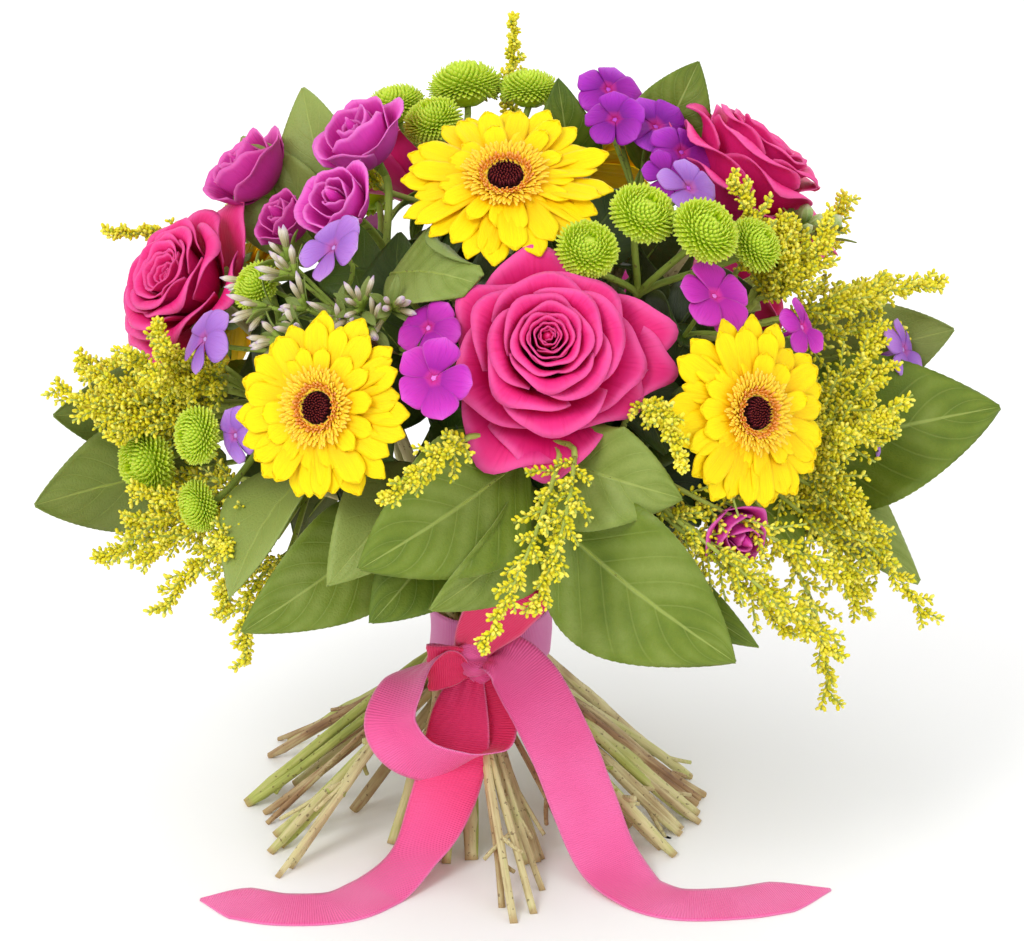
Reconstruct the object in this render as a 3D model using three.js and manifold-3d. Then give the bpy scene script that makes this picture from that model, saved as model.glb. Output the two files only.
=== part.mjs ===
// A hand-tied mixed bouquet that stands on the splayed cut ends of its own stems.
// Millimetres, +Z up. The front of the bunch looks along -Y, and +X is to its right.
// Bearings are degrees round the bunch: 0 is the front, 90 the right, 180 the back.
// A place on the dome of flowers is [bearing, elevation, reach], and reach 1 is the dome's skin.
import * as THREE from "three";
import { mergeVertices } from "three/addons/utils/BufferGeometryUtils.js";
import Module from "manifold-3d";

const wasm = await Module();
wasm.setup();
const { Manifold, Mesh: SolidMesh } = wasm;
const { Vector3, Matrix4, Box3 } = THREE;

// ---------------------------------------------------------------- driving dimensions
const standsAt = new Vector3(-9.5, 7.5, 0); // where the tie's axis meets the table
const dome = { centre: new Vector3(8, 0, 160), across: 128, up: 112 };
const tie = { height: 75, slope: 0.9, half: 10 };
const stemRings = {
  outer: { waist: 17.6, foot: 100 },
  middle: { waist: 11, foot: 84 },
  inner: { waist: 4.6, foot: 60 },
};
const stem = { radius: 2.8, pressed: 2.3, sides: 4, branch: 2 };
const waistCore = { radius: 20.4, flare: 22.6, grooveHalf: 4.5 };
const tails = [
  { bearing: -23, half: 21 },
  { bearing: 34, half: 15 },
];
const footBehindTail = 58;
const footOnRight = 84; // the stems that end well to the right are cut shorter
const ribbon = { width: 25, thickness: 0.8, bandHeight: 20, bandRadius: 23 };
const twine = { thickness: 1.8, turns: 2, radius: 20.8 };
const petalsRound = 14; // in each layer of a gerbera
const blade = 0.7;
const gap = 0.35;
const tidyWithin = 0.25; // slivers that a join leaves are merged within this distance

// ---------------------------------------------------------------- places and directions
const radians = THREE.MathUtils.degToRad;

function heading(bearing, elevation) {
  const level = Math.cos(radians(elevation));
  return new Vector3(
    level * Math.sin(radians(bearing)),
    -level * Math.cos(radians(bearing)),
    Math.sin(radians(elevation)),
  );
}

function onDome([bearing, elevation, reach = 1]) {
  const stretch = new Vector3(dome.across, dome.across, dome.up).multiplyScalar(reach);
  return heading(bearing, elevation).multiply(stretch).add(dome.centre);
}

// A frame at a point whose Z axis is the given direction and whose X axis is level.
function frameAt(point, facing, roll = 0) {
  const z = facing.clone().normalize();
  const x = new Vector3(0, 0, 1).cross(z);
  if (x.length() < 1e-3) x.set(1, 0, 0);
  x.normalize();
  const turned = x.applyAxisAngle(z, radians(roll));
  const y = z.clone().cross(turned);
  return new Matrix4().makeBasis(turned, y, z).setPosition(point);
}

function hermite(from, leave, to, arrive, t) {
  const a = 2 * t ** 3 - 3 * t ** 2 + 1;
  const b = t ** 3 - 2 * t ** 2 + t;
  const c = -2 * t ** 3 + 3 * t ** 2;
  const d = t ** 3 - t ** 2;
  return from.clone().multiplyScalar(a)
    .addScaledVector(leave, b)
    .addScaledVector(to, c)
    .addScaledVector(arrive, d);
}

// ---------------------------------------------------------------- closed solids
// Rings of equal count are skinned one to the next. A ring of one point closes to a tip. The
// far half of a thin strip's ring is split the other way, so that both its faces are alike.
function loft(rings, { closed = false, thin = false } = {}) {
  const points = [];
  const starts = rings.map((ring) => {
    const start = points.length;
    points.push(...ring);
    return start;
  });
  const faces = [];
  const count = Math.max(...rings.map((ring) => ring.length));
  const at = (row, column) => starts[row] + (rings[row].length === 1 ? 0 : column % count);
  const rows = closed ? rings.length : rings.length - 1;
  for (let row = 0; row < rows; row++) {
    const next = (row + 1) % rings.length;
    for (let column = 0; column < count; column++) {
      const corners = [at(row, column), at(row, column + 1), at(next, column + 1), at(next, column)];
      if (thin && column >= count / 2) corners.push(corners.shift());
      const [a, b, c, d] = corners;
      const split = [[a, b, c], [a, c, d]];
      faces.push(...split.filter((face) => new Set(face).size === 3));
    }
  }
  if (!closed) {
    for (const [row, turn] of [[0, 1], [rings.length - 1, 0]]) {
      for (let column = 1; column < rings[row].length - 1; column++) {
        const fan = [at(row, 0), at(row, column), at(row, column + 1)];
        faces.push(turn ? [fan[0], fan[2], fan[1]] : fan);
      }
    }
  }
  return solidOf(points, faces);
}

// The signed volume tells which way the faces point, and they are turned outwards.
function solidOf(points, faces) {
  let volume = 0;
  for (const [a, b, c] of faces) {
    volume += points[a].dot(new Vector3().crossVectors(points[b], points[c]));
  }
  const outward = volume < 0 ? faces.map(([a, b, c]) => [a, c, b]) : faces;
  const mesh = new SolidMesh({
    numProp: 3,
    vertProperties: new Float32Array(points.flatMap((point) => point.toArray())),
    triVerts: new Uint32Array(outward.flat()),
  });
  return new Manifold(mesh);
}

// The solid of a closed three.js geometry, once its corners are merged.
function solidFrom(geometry) {
  const bare = geometry.clone();
  bare.deleteAttribute("normal");
  bare.deleteAttribute("uv");
  const { attributes, index } = mergeVertices(bare);
  const place = attributes.position;
  const points = [];
  for (let k = 0; k < place.count; k++) points.push(new Vector3().fromBufferAttribute(place, k));
  const faces = [];
  for (let k = 0; k < index.count; k += 3) faces.push([index.getX(k), index.getX(k + 1), index.getX(k + 2)]);
  return solidOf(points, faces);
}

// A round bar along points, with one radius at each.
function rod(path, radii, sides) {
  const rings = [];
  const side = new Vector3();
  path.forEach((point, index) => {
    const before = path[Math.max(index - 1, 0)];
    const after = path[Math.min(index + 1, path.length - 1)];
    const way = after.clone().sub(before).normalize();
    const level = Math.abs(way.z) < 0.9 ? new Vector3(0, 0, 1) : new Vector3(1, 0, 0);
    if (index === 0) side.crossVectors(way, level);
    side.addScaledVector(way, -side.dot(way)).normalize();
    const radius = Array.isArray(radii) ? radii[index] : radii;
    if (radius === 0) {
      rings.push([point.clone()]);
      return;
    }
    const ring = [];
    for (let k = 0; k < sides; k++) {
      const spoke = side.clone().applyAxisAngle(way, (2 * Math.PI * k) / sides);
      ring.push(spoke.multiplyScalar(radius).add(point));
    }
    rings.push(ring);
  });
  return loft(rings);
}

// A surface of rings round Z. Each ring is a list of [radius, height, columns turned] that
// repeats round it, or a function that gives one for a column. A pole has the radius 0.
function turned(profile, count) {
  const rings = profile.map((stops) => {
    const isPole = typeof stops !== "function" && stops[0][0] === 0;
    if (isPole) return [new Vector3(0, 0, stops[0][1])];
    return Array.from({ length: count }, (_, k) => {
      const stop = typeof stops === "function" ? stops(k / count) : stops[k % stops.length];
      const [radius, height, twist = 0] = stop;
      const angle = (2 * Math.PI * (k + twist)) / count;
      return new Vector3(radius * Math.cos(angle), radius * Math.sin(angle), height);
    });
  });
  return loft(rings);
}

// A thin sheet over a grid of middle points, alike on both faces, with one thickness or one a row.
function sheet(grid, thickness) {
  const rows = grid.length;
  const columns = grid[0].length;
  const points = [];
  const pick = (i, j) => grid[Math.min(Math.max(i, 0), rows - 1)][Math.min(Math.max(j, 0), columns - 1)];
  for (const face of [0.5, -0.5]) {
    for (let i = 0; i < rows; i++) {
      for (let j = 0; j < columns; j++) {
        const along = pick(i + 1, j).clone().sub(pick(i - 1, j));
        const across = pick(i, j + 1).clone().sub(pick(i, j - 1));
        const normal = along.cross(across).normalize();
        const thick = Array.isArray(thickness) ? thickness[i] : thickness;
        points.push(grid[i][j].clone().addScaledVector(normal, face * thick));
      }
    }
  }
  const layer = rows * columns;
  const id = (i, j, face) => face * layer + i * columns + j;
  const faces = [];
  for (let i = 0; i < rows - 1; i++) {
    for (let j = 0; j < columns - 1; j++) {
      for (const face of [0, 1]) {
        const quad = [id(i, j, face), id(i + 1, j, face), id(i + 1, j + 1, face), id(i, j + 1, face)];
        const split = j < (columns - 1) / 2
          ? [[quad[0], quad[1], quad[2]], [quad[0], quad[2], quad[3]]]
          : [[quad[0], quad[1], quad[3]], [quad[1], quad[2], quad[3]]];
        for (const [a, b, c] of split) faces.push(face ? [a, c, b] : [a, b, c]);
      }
    }
  }
  const rim = [];
  for (let j = 0; j < columns - 1; j++) rim.push([0, j]);
  for (let i = 0; i < rows - 1; i++) rim.push([i, columns - 1]);
  for (let j = columns - 1; j > 0; j--) rim.push([rows - 1, j]);
  for (let i = rows - 1; i > 0; i--) rim.push([i, 0]);
  rim.forEach(([i, j], index) => {
    const [nextI, nextJ] = rim[(index + 1) % rim.length];
    const quad = [id(i, j, 0), id(nextI, nextJ, 0), id(nextI, nextJ, 1), id(i, j, 1)];
    faces.push([quad[0], quad[1], quad[2]], [quad[0], quad[2], quad[3]]);
  });
  return solidOf(points, faces);
}

const joined = (solids) => Manifold.union(solids);

// Stalks to several ends: the first leaves the root, and the others branch off it.
function stalks(root, ends, radius) {
  return ends.map((end, k) => {
    const from = k === 0 ? root : root.clone().lerp(ends[0], 0.15 + (0.7 * k) / ends.length);
    return rod([from, end], radius, 3);
  });
}

// ---------------------------------------------------------------- materials
const finishes = {
  gerberaYellow: { color: 0xf8dc1c, roughness: 0.6 },
  gerberaDisc: { color: 0x4a1420, roughness: 0.85 },
  rosePink: { color: 0xdb2a72, roughness: 0.65 },
  freesiaMagenta: { color: 0xb8328f, roughness: 0.6 },
  phloxViolet: { color: 0x9a4cc0, roughness: 0.6 },
  buttonGreen: { color: 0x86b32a, roughness: 0.7 },
  goldenrodYellow: { color: 0xd8c62a, roughness: 0.8 },
  leafGreen: { color: 0x5d7d3c, roughness: 0.55 },
  budGreen: { color: 0x8a9a5e, roughness: 0.65 },
  stemGreen: { color: 0xa3a062, roughness: 0.7 },
  ribbonPink: { color: 0xe8407f, roughness: 0.6 },
  twineBrown: { color: 0x8a6f4a, roughness: 0.9 },
};

// ---------------------------------------------------------------- the bunch as it is put together
const bouquet = new THREE.Group();
bouquet.position.copy(standsAt);
const taken = []; // the room that pieces already hold, each a solid grown by the gap

function geometryOf(solid) {
  const { vertProperties, triVerts } = solid.getMesh();
  const geometry = new THREE.BufferGeometry();
  geometry.setAttribute("position", new THREE.BufferAttribute(new Float32Array(vertProperties), 3));
  geometry.setIndex(new THREE.BufferAttribute(new Uint32Array(triVerts), 1));
  geometry.computeVertexNormals();
  return geometry;
}

function addMesh(name, whole, finish, place = new Matrix4()) {
  const solid = whole.simplify(tidyWithin);
  const material = new THREE.MeshStandardMaterial({ ...finishes[finish], metalness: 0, flatShading: true });
  const mesh = new THREE.Mesh(geometryOf(solid), material);
  mesh.name = name;
  mesh.applyMatrix4(place);
  bouquet.add(mesh);
}

function boxOf(solid) {
  const { min, max } = solid.boundingBox();
  return new Box3(new Vector3(...min), new Vector3(...max));
}

const boxCorners = [-1, 1].flatMap((x) => [-1, 1].flatMap((y) => [-1, 1].map((z) => new Vector3(x, y, z))));

// The convex room round a solid, wider by the gap on every side, with its smallest faces merged.
function roomRound(solid, place = new Matrix4(), coarse = 0.25) {
  const { vertProperties } = solid.getMesh();
  const points = [];
  for (let k = 0; k < vertProperties.length; k += 3) {
    const point = new Vector3(...vertProperties.slice(k, k + 3)).applyMatrix4(place);
    for (const corner of boxCorners) {
      points.push(corner.clone().multiplyScalar(gap + coarse).add(point).toArray());
    }
  }
  return Manifold.hull(points).simplify(coarse);
}

function takeRoom(room) {
  taken.push({ room, box: boxOf(room) });
}

// What other pieces hold is cut away, and the main body that is left is kept.
function clearOfOthers(solid) {
  const box = boxOf(solid);
  const near = taken.filter((other) => other.box.intersectsBox(box)).map((other) => other.room);
  if (near.length === 0) return solid;
  const left = solid.subtract(joined(near)).decompose();
  left.sort((a, b) => b.volume() - a.volume());
  return left[0];
}

// ---------------------------------------------------------------- flowers
// Each flower is made round its own axis, Z, and looks along +Z from its centre.

// Two layers of square-tipped rays, notched nearly to the middle and staggered, in one surface.
function rays(radius) {
  const notch = 13;
  const layer = (reach, tipHeight, notchHeight, turn) => [
    [notch, notchHeight, turn],
    [reach, tipHeight, turn - 0.36],
    [reach, tipHeight, turn + 0.36],
  ];
  return turned([
    [[0, -5]],
    layer(radius, -3.2, -2, 0),
    layer(radius, -2.4, -1, 0),
    [[12, 0.6]],
    layer(radius * 0.77, 1.8, 1.2, 1.5),
    layer(radius * 0.77, 2.6, 2, 1.5),
    [[0, 2.4]],
  ], 3 * petalsRound);
}

function gerbera(name, { at, facing, diameter, roll = 0, stemRing = "middle" }) {
  const radius = diameter / 2;
  const disc = turned([
    [[0, 2.8]],
    [[15.5, 4.6], [11.5, 3.6]],
    [[8.4, 4.4]],
    [[5.6, 6.6], [5, 5.8]],
    [[0, 5.4]],
  ], 12);
  const place = frameAt(onDome(at), heading(...facing), roll);
  const petals = rays(radius);
  addMesh(`${name}_petals`, petals, "gerberaYellow", place);
  addMesh(`${name}_disc`, disc, "gerberaDisc", place);
  takeRoom(roomRound(joined([petals, disc]), place, 0.8));
  keepOut.push({ centre: onDome(at), axis: heading(...facing), radius: radius + 1.5, depth: 7 });
  needStem(place, 6.4, stemRing, 3.4);
}

// A cupped bloom in one surface: whorl in whorl, each a wall that rises to a lip and falls to
// the groove of the next. A lip is highest and widest at the middle of each of its petals.
function cupped({ whorls, columns, deep, neck = 2 }) {
  const profile = [[[0, whorls[0].lip - 4]]];
  whorls.forEach(({ radius, lip, groove, petals, flare = 0.1 }, k) => {
    const inside = k === 0 ? radius * 0.35 : whorls[k - 1].radius + 1.6;
    const bulge = (share) => Math.sin(Math.PI * ((share * petals + k * 0.4) % 1)) ** 0.6;
    const slant = (share) => 0.05 * (((share * petals + k * 0.4) % 1) - 0.5);
    const lean = (share) => radius * (1 - flare + 1.6 * flare * bulge(share) + slant(share));
    const height = (share) => lip - 0.16 * radius * (1 - bulge(share));
    profile.push([[inside, lip - groove]]);
    profile.push((share) => [lean(share), height(share)]);
    profile.push((share) => [lean(share) + 1, height(share) - 0.5]);
  });
  const outer = whorls[whorls.length - 1].radius;
  profile.push([[outer * 0.74, -deep * 0.45]], [[neck + 1, -deep * 0.92]], [[0, -deep]]);
  return turned(profile, columns);
}

function rose(name, { at, facing, diameter, roll = 0, stemRing = "middle", opened = false }) {
  const outer = diameter / 2;
  const whorls = [
    { radius: outer * 0.38, lip: 8, groove: 8, petals: 3 },
    { radius: outer * 0.66, lip: 5, groove: 9, petals: 5 },
    { radius: outer * 0.92, lip: -1, groove: 8, petals: 5, flare: 0.07 },
  ];
  if (opened) whorls.unshift({ radius: outer * 0.16, lip: 9, groove: 5, petals: 3 });
  const solid = cupped({ whorls, columns: 15, deep: diameter * 0.38 });
  const place = frameAt(onDome(at), heading(...facing), roll);
  addMesh(name, solid, "rosePink", place);
  takeRoom(roomRound(solid, place, 0.8));
  keepOut.push({ centre: onDome(at), axis: heading(...facing), radius: diameter / 2 + 2, depth: 22 });
  needStem(place, diameter * 0.38 + 1.2, stemRing, 3.2);
}

// A double freesia bloom is a small cup of three-petalled whorls on a slim neck.
function freesiaBloom({ at, facing, diameter, deep }) {
  const place = frameAt(onDome(at), heading(...facing), 20);
  const outer = diameter / 2;
  const whorls = [
    { radius: outer * 0.5, lip: 4, groove: 7, petals: 3, flare: 0.12 },
    { radius: outer * 0.93, lip: 0, groove: 6, petals: 3, flare: 0.12 },
  ];
  const solid = cupped({ whorls, columns: 9, deep, neck: 1 }).transform(place.elements);
  return { solid, neck: new Vector3(2.2, 0, -deep * 0.5).applyMatrix4(place) };
}

// Heads on stalks that meet at a fork make one body.
function cluster(name, { kind, heads, fork }) {
  const { make, finish, stalk } = kind;
  const made = heads.map((each) => make(each, onDome(fork)));
  const necks = made.flatMap(({ neck }) => neck ?? []);
  const bars = stalks(onDome(fork), necks, stalk);
  const parts = [...made.map(({ solid }) => solid), ...bars];
  addMesh(name, clearOfOthers(joined(parts)), finish);
  parts.forEach((part) => takeRoom(roomRound(part)));
}

// A phlox floret: five broad flat lobes with a notch between each two.
function floret({ at, facing, diameter, roll = 0 }) {
  const radius = diameter / 2;
  const place = frameAt(onDome(at), heading(...facing), roll);
  const outline = [];
  for (let lobe = 0; lobe < 5; lobe++) {
    for (const [angle, reach] of [[-26, 1], [26, 1], [36, 0.52]]) {
      const turn = radians(lobe * 72 + angle);
      outline.push(new THREE.Vector2(radius * reach * Math.cos(turn), radius * reach * Math.sin(turn)));
    }
  }
  const shape = new THREE.Shape(outline);
  const lobes = new THREE.ExtrudeGeometry(shape, { depth: blade + 0.1, bevelEnabled: false });
  return {
    solid: solidFrom(lobes).transform(place.elements),
    neck: new Vector3(radius * 0.2, 0, 0.4).applyMatrix4(place),
  };
}

// A button head: a dome whose florets stand out as staggered points all over.
function button({ at, diameter, facing }) {
  const r = diameter / 2;
  const place = frameAt(onDome(at), facing ? heading(...facing) : heading(at[0], at[1]));
  const row = (radius, height, twist) => [
    [radius, height, twist],
    [radius * 0.84, height - 0.08 * r, twist],
  ];
  const head = turned([
    [[0, -0.5 * r]],
    row(0.9 * r, -0.3 * r, 0),
    row(1.04 * r, 0.08 * r, 1),
    row(0.62 * r, 0.56 * r, 0),
    [[0, 0.58 * r]],
  ], 10);
  return {
    solid: head.transform(place.elements),
    neck: new Vector3(0.36 * r, 0, -0.2 * r).applyMatrix4(place),
  };
}

// ---------------------------------------------------------------- stems
const stems = [];
const branchEnds = [];
const keepOut = []; // blooms as flat ellipsoids that leaves bend round

// A flower's stem ends at the underside of its bloom, in line with the flower's axis.
function needStem(place, depth, ring, radius = stem.radius) {
  const end = new Vector3(0, 0, -depth - gap).applyMatrix4(place);
  const aim = new Vector3(0, 0, 1).transformDirection(place);
  stems.push({ end, aim, ring, radius, pull: 0.55 });
}

// A spray's stem ends just short of its fork, and a side branch of another stem may carry it.
function needStemTo(root, ring) {
  const aim = root.clone().sub(new Vector3(0, 0, tie.height)).normalize();
  const end = root.clone().addScaledVector(aim, -2.4);
  if (ring === "branch") branchEnds.push(end);
  else stems.push({ end, aim, ring, radius: stem.radius, pull: 0.6 });
}

// Where a stem has gone some way out from the waist, level with it.
function goneOut(aside, out, waist, reach) {
  return aside.clone().multiplyScalar(waist).addScaledVector(out, -reach);
}

// A stem that would cross a tail of the ribbon on its way down stands behind the tail instead.
function footReach(aside, out, { waist, foot }) {
  const crosses = ({ bearing, half }) => [footBehindTail, foot].some((reach) => {
    const { x, y } = goneOut(aside, out, waist, reach);
    return Math.abs(THREE.MathUtils.radToDeg(Math.atan2(x, -y)) - bearing) < half;
  });
  if (tails.some(crosses)) return footBehindTail;
  return goneOut(aside, out, waist, foot).x > foot / 2 ? Math.min(foot, footOnRight) : foot;
}

// Stems share each ring of the waist evenly, in the order of the bearings that they rise to.
function spiralStems() {
  return Object.entries(stemRings).flatMap(([ringName, ring]) => {
    const members = stems.filter((each) => each.ring === ringName);
    const turnOf = (each) => Math.atan2(each.end.y, each.end.x);
    members.sort((a, b) => turnOf(a) - turnOf(b));
    const pitch = (2 * Math.PI) / members.length;
    const drift = members.reduce((sum, each, k) => sum + turnOf(each) - k * pitch, 0) / members.length;
    return members.map((each, k) => spiralStem(each, ring, drift + k * pitch, k));
  });
}

// A stem passes the waist off its axis, so its foot stands on the far side from its flower.
function spiralStem(each, ring, turn, number) {
  const out = new Vector3(Math.cos(turn), Math.sin(turn), 0);
  const aside = new Vector3(-Math.sin(turn), Math.cos(turn), 0);
  const waist = aside.clone().multiplyScalar(ring.waist).setZ(tie.height);
  const slope = (tie.slope * ring.waist) / stemRings.outer.waist;
  const rise = out.clone().multiplyScalar(slope).setZ(1);
  const reach = footReach(aside, out, ring) - 6 * Math.abs(Math.sin(number * 2.4));
  const foot = goneOut(aside, out, ring.waist, reach);
  const lower = waist.clone().addScaledVector(rise, -tie.half);
  const upper = waist.clone().addScaledVector(rise, tie.half);
  const cut = foot.clone().addScaledVector(foot.clone().sub(lower), 0.06);
  const way = each.end.clone().sub(upper).length();
  const leave = rise.clone().normalize().multiplyScalar(way * 0.8);
  const arrive = each.aim.clone().multiplyScalar(way * each.pull);
  const climb = [0.5, 1].map((t) => hermite(upper, leave, each.end, arrive, t));
  const path = [cut, lower, upper, ...climb];
  const { radius } = each;
  return { path, radii: [radius, stem.pressed, stem.pressed, radius, radius] };
}

// A side branch leaves the main stem that passes nearest, part of the way up.
function sideBranch(end, bars) {
  const fits = bars.map(({ path }) => path[3].clone());
  fits.sort((a, b) => a.distanceTo(end) - b.distanceTo(end));
  const from = fits[0];
  const middle = from.clone().lerp(end, 0.5);
  middle.z += 0.08 * from.distanceTo(end);
  return { path: [from, middle, end], radii: stem.branch };
}

// ---------------------------------------------------------------- leaves
// A point inside a bloom's room moves straight out from the bloom's centre to its skin.
function bentClear(point) {
  const moved = point.clone();
  for (const { centre, axis, radius, depth } of keepOut) {
    const off = moved.clone().sub(centre);
    const along = off.dot(axis);
    const across = off.clone().addScaledVector(axis, -along);
    const share = Math.hypot(across.length() / radius, along / depth);
    if (share < 1) moved.copy(centre).addScaledVector(off, 1 / Math.max(share, 0.3));
  }
  return moved;
}

// An ovate blade on its stalk, drawn out to a tip, folded along the rib, its edge waved. It looks
// away from the bunch, or as near as it can the way that it is told to.
function leafBlade({ base, tip, width, arch = 8, fold = 0.22, facing }, root, extra = 0) {
  const from = onDome(base);
  const to = onDome(tip);
  const way = to.clone().sub(from);
  const away = from.clone().add(to).multiplyScalar(0.5).sub(dome.centre);
  const out = facing ? heading(...facing) : away;
  out.addScaledVector(way, -out.dot(way) / way.lengthSq()).normalize();
  const side = way.clone().normalize().cross(out);
  const stations = [0.02, 0.22, 0.5, 0.8, 1];
  const breadths = [0.07, 0.84, 1, 0.52, 0.03];
  const grid = stations.map((along, k) => [-1, 0, 1].map((half) => {
    const breadth = (width / 2) * breadths[k] * (k % 2 ? 1.05 : 0.96) + extra;
    const wave = half * (k % 2 ? 0.7 : -0.7);
    const rise = arch * Math.sin(Math.PI * along) + Math.abs(half) * breadth * fold + wave;
    const point = from.clone().addScaledVector(way, along);
    return bentClear(point.addScaledVector(side, half * breadth).addScaledVector(out, rise));
  }));
  grid.unshift([-1, 0, 1].map((half) => root.clone().addScaledVector(side, half * 1.2)));
  return sheet(grid, [2.2, 1.8, ...stations.slice(1).map(() => blade)].map((thick) => thick + extra));
}

function sprig(name, { leaves, fork }) {
  const root = onDome(fork);
  addMesh(name, clearOfOthers(joined(leaves.map((each) => leafBlade(each, root)))), "leafGreen");
  leaves.forEach((each) => takeRoom(leafBlade(each, root, 2 * gap)));
}

// ---------------------------------------------------------------- goldenrod
// A plume in one surface: a stalk whose branchlets stand out as spikes that lean to its tip.
function plume({ base, tip, reach = 11, arch = 8 }, root) {
  const from = onDome(base);
  const to = onDome(tip);
  const way = to.clone().sub(from);
  const out = from.clone().sub(dome.centre).normalize();
  const aside = way.clone().cross(out).normalize();
  const lift = aside.clone().cross(way).normalize();
  const columns = 6;
  const rings = 8;
  const ahead = way.clone().normalize();
  const skin = Array.from({ length: rings }, (_, row) => {
    const t = row / rings;
    const centre = from.clone().addScaledVector(way, t).addScaledVector(lift, arch * Math.sin(Math.PI * t));
    return Array.from({ length: columns }, (_, column) => {
      const spike = row % 2 === 1 && (column + (row - 1) / 2) % 2 === 0;
      const swell = spike ? reach * (1 - 0.6 * t) * (0.8 + 0.3 * Math.sin(row * 2.1 + column)) : 1.3;
      const angle = (2 * Math.PI * column) / columns;
      const point = centre.clone()
        .addScaledVector(aside, swell * Math.cos(angle))
        .addScaledVector(lift, swell * Math.sin(angle));
      return bentClear(spike ? point.addScaledVector(ahead, swell * 0.6) : point);
    });
  });
  const start = skin[0].map((point) => point.clone().sub(from).add(root));
  return loft([start, ...skin, [bentClear(to)]]);
}

function goldenrod(name, { sprays, fork }) {
  const root = onDome(fork);
  const parts = sprays.map((each) => plume(each, root));
  addMesh(name, clearOfOthers(joined(parts)), "goldenrodYellow");
  parts.forEach((part) => takeRoom(roomRound(part)));
}

// ---------------------------------------------------------------- buds
// A bud: a slim spindle on its own stalk from the fork.
function bud({ at, size = 2.6, long = 9 }, root) {
  const tip = onDome(at);
  const way = tip.clone().sub(root).normalize();
  const foot = tip.clone().addScaledVector(way, -long);
  const belly = tip.clone().addScaledVector(way, -long * 0.45);
  return { solid: rod([root, foot, belly, tip], [0.9, 1, size, 0], 4) };
}

const freesia = { make: freesiaBloom, finish: "freesiaMagenta", stalk: 1.4 };
const phlox = { make: floret, finish: "phloxViolet", stalk: 1.1 };
const buttons = { make: button, finish: "buttonGreen", stalk: 1.2 };
const buds = { make: bud, finish: "budGreen" };

// ---------------------------------------------------------------- the twine and the ribbon
// Turns of cord side by side make one ribbed ring round the waist.
function twineRing() {
  const { radius, thickness, turns } = twine;
  const low = tie.height - (turns * thickness) / 2;
  const profile = [];
  for (let k = 0; k < turns; k++) {
    profile.push([radius + thickness * 0.5, low + k * thickness]);
    profile.push([radius + thickness, low + (k + 0.5) * thickness]);
  }
  profile.push([radius + thickness * 0.5, low + turns * thickness], [radius, tie.height]);
  const rings = profile.map(([r, z]) => Array.from({ length: 20 }, (_, k) => (
    new Vector3(r * Math.cos((Math.PI * k) / 10), r * Math.sin((Math.PI * k) / 10), z))));
  return loft(rings, { closed: true });
}

// The band round the tie is a plain ring of ribbon, as tall as the gathered ribbon there.
function band() {
  const { bandRadius, thickness, bandHeight } = ribbon;
  const half = bandHeight / 2;
  const profile = [[0, -half], [thickness, -half], [thickness, half], [0, half]];
  const rings = profile.map(([out, up]) => Array.from({ length: 24 }, (_, k) => {
    const angle = (Math.PI * k) / 12;
    const r = bandRadius + out;
    return new Vector3(r * Math.cos(angle), r * Math.sin(angle), tie.height + up);
  }));
  return loft(rings, { closed: true });
}

const flat = ribbon.thickness / 2; // the height of a ribbon's middle where it lies on the table

// A ribbon along points, each with the direction across it and the share of its full width.
// Where it lies on the table it is level.
function ribbonAlong(route) {
  const points = route.map(([x, y, z]) => new Vector3(x, y, z));
  const rings = route.map(([, , , acrossX, acrossY, acrossZ, share = 1], k) => {
    const before = points[Math.max(k - 1, 0)];
    const after = points[Math.min(k + 1, route.length - 1)];
    const way = after.clone().sub(before).normalize();
    if (points[k].z === flat) way.setZ(0).normalize();
    const across = new Vector3(acrossX, acrossY, acrossZ);
    across.addScaledVector(way, -across.dot(way)).normalize();
    const normal = way.clone().cross(across).multiplyScalar(ribbon.thickness / 2);
    const half = (ribbon.width * share) / 2;
    return [[-1, -1], [1, -1], [1, 1], [-1, 1]].map(([side, face]) => points[k].clone()
      .addScaledVector(across, side * half)
      .addScaledVector(normal, face));
  });
  return loft(rings, { thin: true });
}

const rightTail = [
  [-3, -31.6, 73.4, 0.9, 0, 0.45, 0.5],
  [6, -37, 76, 0.9, 0, 0.45, 0.8],
  [16, -43, 66, 0.92, 0, 0.4],
  [28, -49, 43, 0.92, 0.1, 0.38],
  [36, -55, 23, 0.9, 0.25, 0.36],
  [44, -65, 7, 0.75, 0.6, 0.3],
  [56, -81, flat, 0.5, 0.86, 0],
  [70, -90, flat, 0.15, 0.98, 0],
  [92, -89, flat, -0.1, 1, 0],
  [108, -84, flat, -0.2, 0.97, 0],
  [127, -78, flat, -0.3, 0.95, 0, 0.06],
];
const leftTail = [
  [-8, -32, 68, 0.95, 0, 0.2, 0.45],
  [-11, -39, 55, 0.95, 0, 0.2, 0.85],
  [-13, -45, 41, 0.95, 0, 0.15],
  [-18, -51, 24, 0.93, -0.1, 0.25],
  [-27, -62, 8, 0.85, -0.4, 0.3],
  [-41, -79, flat, 0.7, -0.7, 0],
  [-55, -92, flat, 0.35, -0.93, 0],
  [-76, -94, flat, -0.05, -1, 0],
  [-92, -89, flat, -0.12, -0.98, 0],
  [-107, -86, flat, -0.2, -0.97, 0, 0.06],
];
const lowLoop = [
  [-9, -31, 74, 0.6, -0.2, -0.2, 0.45],
  [-20, -36, 76, 0.7, -0.3, 0.5, 0.6],
  [-32, -45, 69, 0.74, -0.42, 0.42],
  [-37, -52, 56, 0.74, -0.42, 0.5],
  [-29, -54, 44, 0.7, -0.42, 0.58],
  [-13, -50, 38, 0.66, -0.4, 0.64],
  [-2, -42, 42, 0.7, -0.35, 0.5],
  [-1, -36, 54, 0.85, -0.2, 0.2, 0.85],
  [-6, -31, 68, 0.9, -0.1, 0.1, 0.45],
];
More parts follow.
